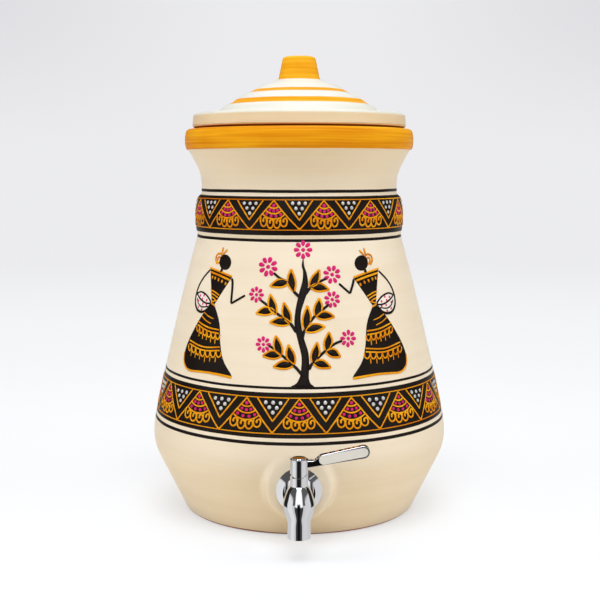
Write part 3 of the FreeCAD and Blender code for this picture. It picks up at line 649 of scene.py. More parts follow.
def mesh_object(name: str, vertices: np.ndarray, faces: list, smooth: bool = True) -> bpy.types.Object:
    """Makes an object from vertices in millimetres.

    Args:
        name: The object's name.
        vertices: Places as rows of X, Y and Z.
        faces: Corner numbers of each face.
        smooth: Whether its faces are shaded smooth.

    Returns:
        The linked object, at the origin.
    """
    mesh = bpy.data.meshes.new(name)
    mesh.from_pydata((np.asarray(vertices) * MM).tolist(), [], faces)
    mesh.validate()
    if smooth:
        mesh.polygons.foreach_set("use_smooth", np.ones(len(mesh.polygons), bool))
    return linked(name, mesh)


def vectors_of(parts: bpy.types.bpy_prop_collection, key: str) -> np.ndarray:
    """Reads one vector of each vertex or face of a mesh.

    Args:
        parts: The vertices or faces.
        key: The vector's name, such as co.

    Returns:
        The vectors as rows.
    """
    flat = np.zeros(len(parts) * 3)
    parts.foreach_get(key, flat)
    return flat.reshape(-1, 3)


def move_vertices(mesh: bpy.types.Mesh, places: np.ndarray) -> None:
    """Moves a mesh's vertices to rows of X, Y and Z in metres."""
    mesh.vertices.foreach_set("co", places.ravel())
    mesh.update()


def turned(name: str, radii: np.ndarray, heights: np.ndarray, turns: np.ndarray,
           closed: bool = False) -> bpy.types.Object:
    """Turns lines round the pot's axis into a closed mesh.

    Args:
        name: The object's name.
        radii: Radius of each row, with one column for each turn or one for all.
        heights: Height of each row, in the same way.
        turns: Angles from the front towards +X, in radians.
        closed: Whether the last row joins the first. Otherwise both ends lie on the axis.

    Returns:
        The object. Its faces are in order of rows, with one face for each turn in a row.
    """
    count, columns = len(radii), len(turns)
    xs, ys = radii * np.sin(turns), -radii * np.cos(turns)
    grid = np.stack([xs, ys, np.broadcast_to(heights, xs.shape)], axis=2)
    if closed:
        vertices = grid.reshape(-1, 3)
        rows = np.arange(len(vertices)).reshape(count, columns).tolist()
        rows.append(rows[0])
    else:
        vertices = np.concatenate([grid[0, :1], grid[1:-1].reshape(-1, 3), grid[-1, :1]])
        last = len(vertices) - 1
        rows = [[0] * columns, *np.arange(1, last).reshape(-1, columns).tolist(), [last] * columns]
    section = np.column_stack([radii[:, 0], heights[:, 0]])
    order = 1 if signed_area(section) > 0 else -1
    faces: list[tuple[int, ...]] = []
    for low, high in zip(rows[:-1], rows[1:]):
        for column in range(columns):
            beside = (column + 1) % columns
            corners = (low[column], low[beside], high[beside], high[column])
            faces.append(tuple(dict.fromkeys(corners))[::order])
    return mesh_object(name, vertices, faces)


def smoothstep(value: np.ndarray, low: float, high: float) -> np.ndarray:
    """Rises gently from 0 at low to 1 at high."""
    share = np.clip((value - low) / (high - low), 0.0, 1.0)
    return share * share * (3 - 2 * share)


def even_turns(count: int) -> np.ndarray:
    """Angles at equal steps round the axis, in radians."""
    return np.arange(count) * 2 * math.pi / count


def round_side(inset: np.ndarray, flattest: float = 0.0) -> np.ndarray:
    """How high a round edge stands, as a share, for shares of the way in from its side."""
    return np.sqrt(np.clip(1 - (1 - np.clip(inset, 0, 1)) ** 2, flattest, 1))


def lengths_along(line: np.ndarray) -> np.ndarray:
    """The length along a line to each of its points."""
    return np.concatenate([[0.0], np.cumsum(np.hypot(*np.diff(line, axis=0).T))])


def resampled(line: np.ndarray, old: np.ndarray, new: np.ndarray) -> np.ndarray:
    """The points of a line at new lengths along it, from its points at the old lengths."""
    return np.column_stack([np.interp(new, old, line[:, i]) for i in (0, 1)])


def bake_modifiers(piece: bpy.types.Object) -> None:
    """Turns a piece's modifiers into its plain mesh, and removes them.

    Args:
        piece: The piece.
    """
    evaluated = piece.evaluated_get(bpy.context.evaluated_depsgraph_get())
    made = bpy.data.meshes.new_from_object(evaluated)
    made.name = piece.name
    old = piece.data
    piece.modifiers.clear()
    piece.data = made
    bpy.data.meshes.remove(old)


def finish_piece(piece: bpy.types.Object, body: str, *paints: Paint) -> None:
    """Gives a clay or painted piece its materials and the body that carries it.

    Args:
        piece: The piece.
        body: The body's name.
        *paints: Its paints, in the order of its material numbers.
    """
    for paint in paints:
        piece.data.materials.append(paint.value.material())
    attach(piece, body)
    LOG.info("%s rides on %s: %d faces", piece.name, body, len(piece.data.polygons))


@dataclass
class RingPaint:
    """Paint that goes right round a turned piece.

    Attributes:
        outline: The outline of the piece under the paint.
        body: The body that carries the piece.
        columns: How many faces go round.
        sink: How far the paint's underside lies in the clay.
        edge: How wide its rounded edge is.
        row_step: The distance between rows of the mesh.
    """

    outline: Outline
    body: str
    columns: int = 240
    sink: float = 0.12
    edge: float = 0.35
    row_step: float = 1.2

    def band(self, name: str, paint: Paint, start: float, end: float, lift: float = 0.12,
             sway: float = 0.12) -> None:
        """Lays one band.

        Args:
            name: The piece's name.
            paint: Its paint.
            start: Where the band starts, as a length along the outline. 0 is on the axis.
            end: Where it ends.
            lift: How thick the paint stands on the clay.
            sway: How far its edges wander, because it is painted by hand.
        """
        turns = even_turns(self.columns)
        middle = np.arange(start + 2 * self.edge, end - 2 * self.edge, self.row_step)
        near = self.edge * np.array([0.0, 0.15, 0.5, 1.0])
        rows = np.concatenate([start + near, middle, end - near[::-1]])
        inset = np.minimum(rows - start if start > 0 else np.inf, end - rows)
        wander = sway * (np.sin(3 * turns + start) + np.sin(7 * turns + 2 * end) +
                         0.6 * np.sin(16 * turns + start + end)) / 2
        share = np.ones(len(rows)) if start > 0 else np.clip(rows / end, 0, 1)
        lifts = np.concatenate([lift * round_side(inset / self.edge),
                                np.full(len(rows), -self.sink)])[:, None]
        rows, share = (np.concatenate([part, part[::-1]])[:, None] for part in (rows, share))
        radius, height, out, up = self.outline.at(rows + share * wander)
        made = turned(name, radius + lifts * out, height + lifts * up, turns, closed=start > 0)
        finish_piece(made, self.body, paint)


@dataclass
class PotShell:
    """The thrown pot: one mesh from the middle of its base, round its rim and back inside.

    Attributes:
        outline: The pot's section.
        pad_height: Height of the tap's middle.
        pad_face: How far in front of the axis the outer pad lies.
        inner_face: The same for the inner pad.
        pad_flat: Radius of the outer pad's flat.
        pad_reach: Radius at which the pad has run out into the wall.
        inner_flat: Radius of the inner pad's flat.
        inner_reach: Radius at which the inner pad has run out.
        throwing_pitch: Height of one throwing ring inside.
        throwing_depth: How far the rings stand in.
        throwing_heights: Where the rings start and end.
        hole_radius: Radius of the hole that the shank goes through.
        hole_sides: How many faces go round the hole.
        floor_radius: Radius up to which rows may be as far apart as the first of row_steps.
        pad_top: Height up to which they are as close as the second.
        row_steps: The longest steps between rows: by the axis, by the pads and elsewhere.
        pad_turn: How far to each side of the front the columns are close, in degrees.
        column_steps: The steps between columns there and elsewhere, in degrees.
    """

    outline: Outline = field(default_factory=lambda: Outline.of_node("pot_body", from_top=False))
    pad_height: float = 45.0
    pad_face: float = -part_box("outer_gasket")[1].y / MM
    inner_face: float = -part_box("inner_gasket")[0].y / MM
    pad_flat: float = 23.5
    pad_reach: float = 31.0
    inner_flat: float = 18.0
    inner_reach: float = 21.5
    throwing_pitch: float = 7.0
    throwing_depth: float = 0.4
    throwing_heights: tuple[float, float] = (18.0, 300.0)
    hole_radius: float = 9.0
    hole_sides: int = 64
    floor_radius: float = 60.0
    pad_top: float = 82.0
    row_steps: tuple[float, float, float] = (6.0, 1.5, 2.2)
    pad_turn: float = 16.0
    column_steps: tuple[float, float] = (0.6, 2.2)

    def build(self) -> None:
        """Builds the pot and dresses it in cream outside and bare clay inside."""
        top_arc = self.outline.arc_where(self.outline.points[:, 1].max())
        arcs = self.outline.rows(self._longest_step)
        radius, height, _, _ = self.outline.at(arcs)
        low, high = self.throwing_heights
        inside = (arcs > top_arc) & (height > low) & (height < high)
        ring = np.cos(height * 2 * math.pi / self.throwing_pitch)
        radius = radius + np.where(inside, self.throwing_depth * ring, 0.0)
        pot = turned("pot_shell", radius[:, None], height[:, None], self._turns())
        self._press_pads(pot.data)
        self._cut_shank_hole(pot)
        self._split_finishes(pot.data)
        finish_piece(pot, "pot", Paint.CREAM, Paint.CLAY)
        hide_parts("pot_body")

    def _longest_step(self, radius: float, height: float) -> float:
        """The longest step between rows at a radius and height."""
        by_axis, by_pads, elsewhere = self.row_steps
        return by_axis if radius < self.floor_radius else by_pads if height < self.pad_top else elsewhere

    def _turns(self) -> np.ndarray:
        """Spaces the columns round the pot, close together where the tap's pads are.

        Returns:
            Angles from the front, in radians.
        """
        near, (fine, coarse) = self.pad_turn, self.column_steps
        front = np.arange(-near, near, fine)
        rest = np.linspace(near, 360 - near, int((360 - 2 * near) / coarse), endpoint=False)
        return np.radians(np.concatenate([front, rest]))

    def _press_pads(self, mesh: bpy.types.Mesh) -> None:
        """Flattens the wall outside and inside, where the tap is clamped.

        Args:
            mesh: The pot's mesh.
        """
        front_limit, wall_depth = -60.0, 4.0
        across, deep, height = (vectors_of(mesh.vertices, "co") / MM).T
        away = np.hypot(across, height - self.pad_height)
        front = deep < front_limit
        outer = front & (np.hypot(across, deep) > self.outline.wall(height)[0] - wall_depth)
        for side, face, flat, reach in (
                (outer, self.pad_face, self.pad_flat, self.pad_reach),
                (front & ~outer, self.inner_face, self.inner_flat, self.inner_reach)):
            pressed = 1 - smoothstep(away, flat, reach)
            deep = np.where(side, deep + (-face - deep) * pressed, deep)
        move_vertices(mesh, np.column_stack([across, deep, height]) * MM)

    def _cut_shank_hole(self, pot: bpy.types.Object) -> None:
        """Drills the hole for the shank through both pads.

        Args:
            pot: The pot.
        """
        beyond = 8.0
        turns = even_turns(self.hole_sides)
        ends = (-self.pad_face - beyond, -self.inner_face + beyond)
        rim = [(self.hole_radius * math.cos(t), self.hole_radius * math.sin(t)) for t in turns]
        vertices = [(x, y, z + self.pad_height) for y in ends for x, z in rim]
        count = len(rim)
        faces = [(i, (i + 1) % count, count + (i + 1) % count, count + i) for i in range(count)]
        faces += [tuple(range(count))[::-1], tuple(range(count, 2 * count))]
        drill = mesh_object("shank_drill", np.array(vertices), faces)
        shape = bmesh.new()
        shape.from_mesh(drill.data)
        bmesh.ops.recalc_face_normals(shape, faces=shape.faces)
        shape.to_mesh(drill.data)
        shape.free()
        cut = pot.modifiers.new("shank_hole", "BOOLEAN")
        cut.object = drill
        cut.solver = "EXACT"
        bake_modifiers(pot)
        bpy.data.objects.remove(drill)

    def _split_finishes(self, mesh: bpy.types.Mesh) -> None:
        """Leaves the inside and the underside as bare clay.

        Args:
            mesh: The pot's mesh.
        """
        mouth = self.outline.points[:, 1].max() - 6.0
        floor_top, base_top, underside_top = 60.0, 1.0, 1.5
        centres = vectors_of(mesh.polygons, "center") / MM
        normals = vectors_of(mesh.polygons, "normal")
        height, rise = centres[:, 2], normals[:, 2]
        radius = np.hypot(centres[:, 0], centres[:, 1])
        outward = (centres[:, :2] * normals[:, :2]).sum(axis=1) / np.maximum(radius, 1.0)
        inside = (outward < -0.05) & (height < mouth) & (height > base_top)
        floor = (rise > 0.5) & (height < floor_top)
        under = (rise < -0.9) & (height < underside_top)
        bare = (inside | floor | under).astype(np.int32)
        mesh.polygons.foreach_set("material_index", bare)


@dataclass
class PotLid:
    """The loose lid: an ochre knob, a ribbed dome with ochre rings, a flat ledge and a skirt.

    Attributes:
        outline: The lid's section.
        columns: How many faces go round.
        row_step: The longest step between rows.
        ring_crest: The radius of one crest of the dome's soft rings.
        ring_pitch: The distance from crest to crest.
        ring_depth: Half the height from a valley to a crest.
        ring_radii: Where the soft rings begin and end.
        slot_depth: How much is pared off the underside at the lid's edge.
        slot_reach: How far inwards the paring runs out.
        painted: Name, inner radius and outer radius of each painted part. 0 is on the axis.
    """

    outline: Outline = field(default_factory=lambda: Outline.of_node("lid", from_top=True))
    columns: int = 200
    row_step: float = 2.0
    ring_crest: float = 48.5
    ring_pitch: float = 16.5
    ring_depth: float = 0.5
    ring_radii: tuple[float, float] = (19.0, 69.0)
    slot_depth: float = 1.1
    slot_reach: float = 7.0
    painted: tuple[tuple[str, float, float], ...] = (
        ("knob_paint", 0.0, 18.2), ("lid_ring_upper", 37.5, 43.0), ("lid_ring_lower", 53.0, 59.5))

    def build(self) -> None:
        """Builds the lid with its paint."""
        self.outline.add_steps(self.ring_crest, self.ring_pitch, self.ring_depth, *self.ring_radii)
        self.outline.undercut(self.slot_depth, self.slot_reach)
        arcs = self.outline.rows(lambda radius, height: self.row_step)
        radius, height, _, _ = self.outline.at(arcs)
        lid = turned("lid_shell", radius[:, None], height[:, None], even_turns(self.columns))
        # The lid's side takes a darker cream as painted shade, and what faces up a paler cream as
        # painted light.
        finish_piece(lid, "lid", Paint.SAND, Paint.CLAY, Paint.PALE)
        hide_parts("lid")
        self._split_finishes(lid.data, arcs)
        # The knob and rings take the lighter ochre, which is partly painted highlight.
        rings = RingPaint(self.outline, "lid")
        for name, inner, outer in self.painted:
            start, end = (self._arc_at_radius(radius) for radius in (inner, outer))
            rings.band(name, Paint.AMBER, start, end, sway=0.2)

    def _arc_at_radius(self, radius: float) -> float:
        """Length along the upper side to a radius."""
        return float(self.outline.arc[int(np.argmax(self.outline.points[:, 0] >= radius))])

    def _split_finishes(self, mesh: bpy.types.Mesh, arcs: np.ndarray) -> None:
        """Leaves the underside as bare clay, gives what faces up a paler cream as painted light from
        above, and gives the rest of the outside, the lid's side, a darker cream as painted shade.

        Args:
            mesh: The lid's mesh.
            arcs: The lengths along the outline at which it has rows.
        """
        edge_round, facing_up = 2.0, 0.3
        edge_arc = self._arc_at_radius(self.outline.points[:, 0].max())
        middle = (arcs[1:] + arcs[:-1]) / 2
        upward = self.outline.at(middle)[3]
        # Number 0 is the darker cream of painted shade, 1 bare clay, and 2 the paler cream of painted
        # light.
        finish = np.where(middle > edge_arc + edge_round, 1, np.where(upward > facing_up, 2, 0))
        mesh.polygons.foreach_set("material_index",
                                  np.repeat(finish, self.columns).astype(np.int32))


@dataclass
class PotRings:
    """The painted lines, band grounds, ochre rim and dark foot line that go right round the pot.

    Attributes:
        outline: The pot's section.
        lines: Name, middle height and width of each black line.
    """

    outline: Outline
    lines: tuple[tuple[str, float, float], ...] = (
        ("line_over_belt", 271.1, 2.4), ("line_under_belt", 233.0, 2.4),
        ("line_over_lower_band", 121.7, 2.0), ("line_under_lower_band", 80.0, 2.6))

    def build(self) -> None:
        """Lays each ring."""
        rings = RingPaint(self.outline, "pot")
        at = self.outline.arc_where
        rings.band("rim_paint", Paint.OCHRE, at(304.8), at(313.0, inside=True), sway=0.2)
        rings.band("belt_ground", Paint.BLACK, at(237.2), at(267.4))
        rings.band("lower_ground", Paint.BLACK, at(84.2), at(118.0))
        # A thin band of bare clay round the foot: partly the raw edge, partly painted contact shadow
        # where the pot meets the floor.
        rings.band("foot_raw_edge", Paint.CLAY, at(0.3), at(1.7), lift=0.05, sway=0.3)
        for name, height, width in self.lines:
            middle = at(height)
            rings.band(name, Paint.BLACK, middle - width / 2, middle + width / 2)


class GeometryTrees:
    """The Geometry Nodes trees that lay paint: strokes, dabs and copies round the pot."""

    STROKES = "brush_strokes"
    DABS = "paint_dabs"
    ROUND = "copies_round_the_axis"
    SOCKETS = {int: "NodeSocketInt", float: "NodeSocketFloat"}

    def __init__(self) -> None:
        """Builds every tree once."""
        self._build_strokes()
        self._build_dabs()
        self._build_round()

    def _start(self, name: str, **sizes: float) -> tuple[Tree, Outputs]:
        """Makes a tree that takes a geometry, sizes and a paint, and gives a geometry.

        Args:
            name: The tree's name.
            **sizes: The default of each size.

        Returns:
            The tree, and the sockets that give its inputs.
        """
        sockets = {"Geometry": ("NodeSocketGeometry",)}
        sockets |= {label: (self.SOCKETS[type(size)], size) for label, size in sizes.items()}
        sockets["Paint"] = ("NodeSocketMaterial",)
        return group_tree(name, "GeometryNodeTree", sockets, {"Geometry": "NodeSocketGeometry"})

    @staticmethod
    def _end(tree: Tree, geometry: Socket, paint: Socket) -> None:
        """Realizes, smooths and paints what a tree has made.

        Args:
            tree: The tree.
            geometry: What it has made.
            paint: The paint.
        """
        real = tree.get("GeometryNodeRealizeInstances", {"Geometry": geometry})
        smooth = tree.get("GeometryNodeSetShadeSmooth", {"Geometry": real})
        painted = tree.get("GeometryNodeSetMaterial", {"Geometry": smooth, "Material": paint})
        tree.add("NodeGroupOutput", {"Geometry": painted})

    @staticmethod
    def _attribute(tree: Tree, name: str, kind: str = "FLOAT_VECTOR") -> Socket:
        """Reads one of the values that a drawing keeps on its points."""
        return tree.get("GeometryNodeInputNamedAttribute", {"Name": name}, data_type=kind)

    def _build_strokes(self) -> None:
        """Lines on the wall become raised strokes with full round ends."""
        tree, given = self._start(self.STROKES, Sides=8, Thickness=0.3)
        line = tree.get("GeometryNodeMeshToCurve", {"Mesh": given["Geometry"]})
        facing = {"Curve": line, "Normal": self._attribute(tree, "facing")}
        upright = tree.get("GeometryNodeSetCurveNormal", facing, mode="FREE")
        circle = tree.get("GeometryNodeCurvePrimitiveCircle",
                          {"Resolution": given["Sides"], "Radius": 1.0})
        flat = tree.combine(given["Thickness"], 1.0, 1.0)
        brush = tree.get("GeometryNodeTransform", {"Geometry": circle, "Scale": flat})
        stroke = tree.get("GeometryNodeCurveToMesh",
                          {"Curve": upright, "Profile Curve": brush, "Fill Caps": True,
                           "Scale": self._attribute(tree, "half_width", "FLOAT")})
        self._end(tree, stroke, given["Paint"])

    def _build_dabs(self) -> None:
        """Points on the wall become dots, petals and pearls."""
        tree, given = self._start(self.DABS, Segments=10, Rings=6, Taper=0.0)
        ball = tree.get("GeometryNodeMeshUVSphere",
                        {"Segments": given["Segments"], "Rings": given["Rings"], "Radius": 1.0})
        place = tree.get("GeometryNodeInputPosition")
        along = tree.get("ShaderNodeSeparateXYZ", {"Vector": place})
        wider = tree.math("MULTIPLY_ADD", along, given["Taper"], 1.0)
        moved = tree.vector("MULTIPLY", place, tree.combine(1.0, wider, 1.0))
        egg = tree.get("GeometryNodeSetPosition", {"Geometry": ball, "Position": moved})
        axes = {"Primary Axis": self._attribute(tree, "facing"),
                "Secondary Axis": self._attribute(tree, "heading")}
        turn = tree.get("FunctionNodeAxesToRotation", axes, primary_axis="Z", secondary_axis="X")
        dabs = tree.get("GeometryNodeInstanceOnPoints",
                        {"Points": given["Geometry"], "Instance": egg, "Rotation": turn,
                         "Scale": self._attribute(tree, "size")})
        self._end(tree, dabs, given["Paint"])

    def _build_round(self) -> None:
        """One repeat of a band is copied round the axis, and swayed as by hand."""
        tree, given = self._start(self.ROUND, Count=12, Sway=0.0003)
        points = tree.get("GeometryNodePoints", {"Count": given["Count"]})
        step = tree.math("DIVIDE", 2 * math.pi, given["Count"])
        turn = tree.math("MULTIPLY", tree.get("GeometryNodeInputIndex"), step)
        copies = tree.get("GeometryNodeInstanceOnPoints",
                          {"Points": points, "Instance": given["Geometry"],
                           "Rotation": tree.combine(0.0, 0.0, turn)})
        real = tree.get("GeometryNodeRealizeInstances", {"Geometry": copies})
        place = tree.get("GeometryNodeInputPosition")
        noise = tree.add("ShaderNodeTexNoise", {"Vector": place, "Scale": 55.0, "Detail": 0.0})
        centred = tree.vector("SUBTRACT", noise.outputs["Color"], (0.5, 0.5, 0.5))
        outward = tree.vector("NORMALIZE", tree.vector("MULTIPLY", place, (1.0, 1.0, 0.0)))
        off_wall = tree.vector("PROJECT", centred, outward)
        along_wall = tree.vector("SUBTRACT", centred, off_wall)
        sway = tree.vector("MULTIPLY", along_wall, tree.math("MULTIPLY", given["Sway"], 4.0))
        swayed = tree.get("GeometryNodeSetPosition", {"Geometry": real, "Offset": sway})
        self._end(tree, swayed, given["Paint"])

    @staticmethod
    def use(piece: bpy.types.Object, name: str, paint: Paint, **sizes: float) -> None:
        """Adds one of the trees to a piece.

        Args:
            piece: The piece, which holds the drawing's points.
            name: The tree's name.
            paint: The paint that it lays.
            **sizes: Sizes that differ from the tree's own.
        """
        modifier = piece.modifiers.new(name, "NODES")
        modifier.node_group = bpy.data.node_groups[name]
        values = {**sizes, "Paint": paint.value.material()}
        for socket in modifier.node_group.interface.items_tree:
            if socket.in_out == "INPUT" and socket.name in values:
                modifier[socket.identifier] = values[socket.name]


@dataclass(frozen=True)
class Canvas:
    """The outside of the pot as a sheet to draw on.

    Attributes:
        outline: The pot's outline.
        around: The radius at which a drawing that goes right round is at its true width, or
            None where a drawing keeps its width at every height.
    """

    outline: Outline
    around: float | None = None

    def place(self, flat: np.ndarray, lift: np.ndarray | float) -> np.ndarray:
        """Wraps flat points round the pot.

        Args:
            flat: Rows of distance from the front line and height.
            lift: How far each point stands off the clay.

        Returns:
            Rows of X, Y and Z in millimetres.
        """
        radius, out, up = self.outline.wall(flat[:, 1])
        turn = flat[:, 0] / (self.around or radius)
        off_axis = radius + lift * out
        return np.column_stack([off_axis * np.sin(turn), -off_axis * np.cos(turn),
                                flat[:, 1] + lift * up])

    def facing(self, flat: np.ndarray) -> np.ndarray:
        """Finds the way that the wall faces.

        Args:
            flat: Rows of distance from the front line and height.

        Returns:
            Rows of unit vectors.
        """
        radius, out, up = self.outline.wall(flat[:, 1])
        turn = flat[:, 0] / (self.around or radius)
        return np.column_stack([out * np.sin(turn), -out * np.cos(turn), up])

    def heading(self, flat: np.ndarray, angles: np.ndarray) -> np.ndarray:
        """Wraps directions round the pot.

        Args:
            flat: Rows of distance from the front line and height.
            angles: The direction at each, in degrees from the rightward line.

        Returns:
            Rows of vectors along the wall.
        """
        step = 0.5
        turn = np.radians(angles)
        ahead = flat + step * np.column_stack([np.cos(turn), np.sin(turn)])
        return self.place(ahead, 0.0) - self.place(flat, 0.0)


def smooth_line(points: Sequence[Point], step: float, closed: bool = False) -> np.ndarray:
    """Draws a smooth line through points, at even steps.

    Args:
        points: The points that it goes through.
        step: The length of one step.
        closed: Whether it joins its own start.

    Returns:
        The line's points. A closed line doesn't repeat its first.
    """
    parts_between = 16
    through = np.array(points, float)
    if closed:
        padded = np.concatenate([through[-1:], through, through[:2]])
    else:
        start = 2 * through[0] - through[1]
        end = 2 * through[-1] - through[-2]
        padded = np.concatenate([[start], through, [end]])
    share = np.linspace(0, 1, parts_between, endpoint=False)[:, None]
    parts = []
    for first, second, third, fourth in zip(padded, padded[1:], padded[2:], padded[3:]):
        parts.append(0.5 * (2 * second + (third - first) * share +
                            (2 * first - 5 * second + 4 * third - fourth) * share ** 2 +
                            (3 * second - first - 3 * third + fourth) * share ** 3))
    line = np.concatenate([*parts, padded[-2:-1]])
    arc = lengths_along(line)
    count = max(2, int(math.ceil(arc[-1] / step)) + 1)
    line = resampled(line, arc, np.linspace(0, arc[-1], count))
    return line[:-1] if closed else line


def straight_line(points: Sequence[Point], step: float) -> np.ndarray:
    """Draws straight runs between points.

    Args:
        points: The points.
        step: The longest step.

    Returns:
        The line's points.
    """
    parts = [np.array(points[:1], float)]
    for first, second in zip(points, points[1:]):
        count = max(1, int(math.ceil(math.dist(first, second) / step)))
        share = np.arange(1, count + 1)[:, None] / count
        parts.append(np.array(first) * (1 - share) + np.array(second) * share)
    return np.concatenate(parts)


@dataclass
class Drawing:
    """Paint laid by hand on the pot's wall, sorted by the way that it is laid.

    Attributes:
        name: What the names of its pieces start with.
        canvas: The wall that it is drawn on.
        repeats: How many times it goes round the pot. 1 is a drawing that stands alone.
        drift: How far its copies stray from even places round the pot, in degrees.
        drift_waves: How many times they stray to and fro on the way round.
        stroke_lift: How far the middle of a stroke lies off the clay.
        later_lift: How much higher ochre strokes lie, which are painted last.
        fill_lift: How thick a filled shape is.
        step: The longest step along a line.
        strokes: The points and half widths of each stroke, by paint.
        fills: The edge and thickness of each filled shape, by paint.
        dabs: The measures of each dab, by paint and kind.
    """

    name: str
    canvas: Canvas
    repeats: int = 1
    drift: float = 0.0
    drift_waves: int = 1
    stroke_lift: float = 0.2
    later_lift: float = 0.1
    fill_lift: float = 0.14
    step: float = 1.1
    strokes: dict[Paint, list[tuple[np.ndarray, np.ndarray]]] = field(default_factory=dict)
    fills: dict[Paint, list[tuple[np.ndarray, float]]] = field(default_factory=dict)
    dabs: dict[tuple[Paint, str], list[tuple]] = field(default_factory=dict)

    def stroke(self, paint: Paint, points: Sequence[Point], width: float,
               end_width: float | None = None, smooth: bool = True, closed: bool = False) -> None:
        """Draws one brush stroke.

        Args:
            paint: Its paint.
            points: The points that it goes through.
            width: Its width at the start.
            end_width: Its width at the end, where that differs.
            smooth: Whether it curves through its points.
            closed: Whether it joins its own start.
        """
        tip_shares, flattest = (0.08, 0.35, 1.0), 0.02
        if closed:
            points = [*points, *points[:1]]
        line = smooth_line(points, self.step) if smooth else straight_line(points, self.step)
        arc = lengths_along(line)
        finish = width if end_width is None else end_width
        tips = [0.0]
        for tip, half in ((0.0, width / 2), (arc[-1], finish / 2)):
            tips += [abs(tip - share * half) for share in tip_shares]
        spots = np.unique(np.round(np.concatenate([arc, tips]), 4))
        spots = spots[(spots >= 0) & (spots <= arc[-1])]
        half = np.interp(spots, [0, arc[-1]], [width / 2, finish / 2])
        half = half * round_side(np.minimum(spots, arc[-1] - spots) / half, flattest)
        self.strokes.setdefault(paint, []).append((resampled(line, arc, spots), half))

    def fill(self, paint: Paint, points: Sequence[Point], smooth: bool = True,
             lift: float | None = None) -> None:
        """Fills a closed shape with paint.

        Args:
            paint: Its paint.
            points: The shape's corners, or points on its edge.
            smooth: Whether its edge curves through the points.
            lift: How thick the paint is, where that isn't the usual thickness.
        """
        edge = smooth_line(points, self.step, closed=True) if smooth else np.array(points, float)
        thick = self.fill_lift if lift is None else lift
        self.fills.setdefault(paint, []).append((edge, thick))

    def dab(self, paint: Paint, kind: str, centre: Point, length: float, width: float,
            height: float, heading: float = 0.0) -> None:
        """Sets one dot, petal or pearl.

        Args:
            paint: Its paint.
            kind: The word that its piece's name ends with.
            centre: Its middle.
            length: Its size along its heading.
            width: Its size across its heading.
            height: How far it stands off the clay.
            heading: The angle that it points at, in degrees from the rightward line.
        """
        sizes = (length / 2, width / 2, height)
        self.dabs.setdefault((paint, kind), []).append((centre, sizes, heading))

    def build(self, taper: float = 0.0) -> None:
        """Makes one piece for each paint and way of laying it.

        Args:
            taper: How much wider a dab is at its far end than at its near end.
        """
        for paint, shapes in self.fills.items():
            self._finish(self._fill_piece(paint, shapes), paint)
        for paint, lines in self.strokes.items():
            self._finish(self._stroke_piece(paint, lines), paint)
        for (paint, kind), spots in self.dabs.items():
            self._finish(self._dab_piece(paint, kind, spots, taper), paint)

    def _piece_name(self, paint: Paint, kind: str) -> str:
        """Names a piece by its drawing, its paint and what it is."""
        return f"{self.name}_{paint.name.lower()}_{kind}"

    def _finish(self, piece: bpy.types.Object, paint: Paint) -> None:
        """Copies a piece round the pot where it repeats, and finishes it as a plain mesh.

        Args:
            piece: The piece.
            paint: Its paint.
        """
        if self.repeats > 1:
            GeometryTrees.use(piece, GeometryTrees.ROUND, paint, Count=self.repeats)
        if piece.modifiers:
            bake_modifiers(piece)
        if self.drift:
            self._stray(piece.data)
        piece.data.materials.clear()
        finish_piece(piece, "pot", paint)

    def _stray(self, mesh: bpy.types.Mesh) -> None:
        """Turns each point a little round the pot, as copies laid by eye aren't quite even.

        Args:
            mesh: The mesh.
        """
        across, deep, height = vectors_of(mesh.vertices, "co").T
        turn = math.radians(self.drift) * np.sin(self.drift_waves * np.arctan2(across, -deep))
        places = [across * np.cos(turn) + deep * np.sin(turn),
                  deep * np.cos(turn) - across * np.sin(turn), height]
        move_vertices(mesh, np.column_stack(places))

    def _points_piece(self, name: str, places: np.ndarray, edges: list[tuple[int, int]],
                      values: dict[str, np.ndarray]) -> bpy.types.Object:
        """Makes an object of bare points and lines that carry values.

        Args:
            name: The object's name.
            places: Rows of X, Y and Z in millimetres.
            edges: The two ends of each line.
            values: A number or a vector for each point, by name.

        Returns:
            The object.
        """
        mesh = bpy.data.meshes.new(name)
        mesh.from_pydata((places * MM).tolist(), edges, [])
        for label, value in values.items():
            kind, key = ("FLOAT", "value") if value.ndim == 1 else ("FLOAT_VECTOR", "vector")
            attribute = mesh.attributes.new(label, kind, "POINT")
            attribute.data.foreach_set(key, value.astype(np.float32).ravel())
        return linked(name, mesh)

    def _stroke_piece(self, paint: Paint, lines: list) -> bpy.types.Object:
        """Lays all strokes of one paint.

        Args:
            paint: The paint.
            lines: The points and half widths of each stroke.

        Returns:
            The piece.
        """
        flat, half = (np.concatenate(parts) for parts in zip(*lines))
        edges, first = [], 0
        for line, _ in lines:
            edges += [(first + i, first + i + 1) for i in range(len(line) - 1)]
            first += len(line)
        values = {"half_width": half * MM, "facing": self.canvas.facing(flat)}
        lift = self.stroke_lift + (self.later_lift if paint is Paint.OCHRE else 0.0)
        piece = self._points_piece(self._piece_name(paint, "strokes"),
                                   self.canvas.place(flat, lift), edges, values)
        GeometryTrees.use(piece, GeometryTrees.STROKES, paint)
        return piece

    def _dab_piece(self, paint: Paint, kind: str, spots: list, taper: float) -> bpy.types.Object:
        """Sets all dabs of one paint and kind.

        Args:
            paint: The paint.
            kind: The word that the piece's name ends with.
            spots: The middle, the sizes and the heading of each dab.
            taper: How much wider a dab is at its far end than at its near end.

        Returns:
            The piece.
        """
        flat, sizes, headings = (np.array(part, float) for part in zip(*spots))
        values = {"facing": self.canvas.facing(flat), "size": sizes * MM,
                  "heading": self.canvas.heading(flat, headings)}
        piece = self._points_piece(self._piece_name(paint, kind),
                                   self.canvas.place(flat, self.fill_lift / 2), [], values)
        GeometryTrees.use(piece, GeometryTrees.DABS, paint, Taper=taper)
        return piece

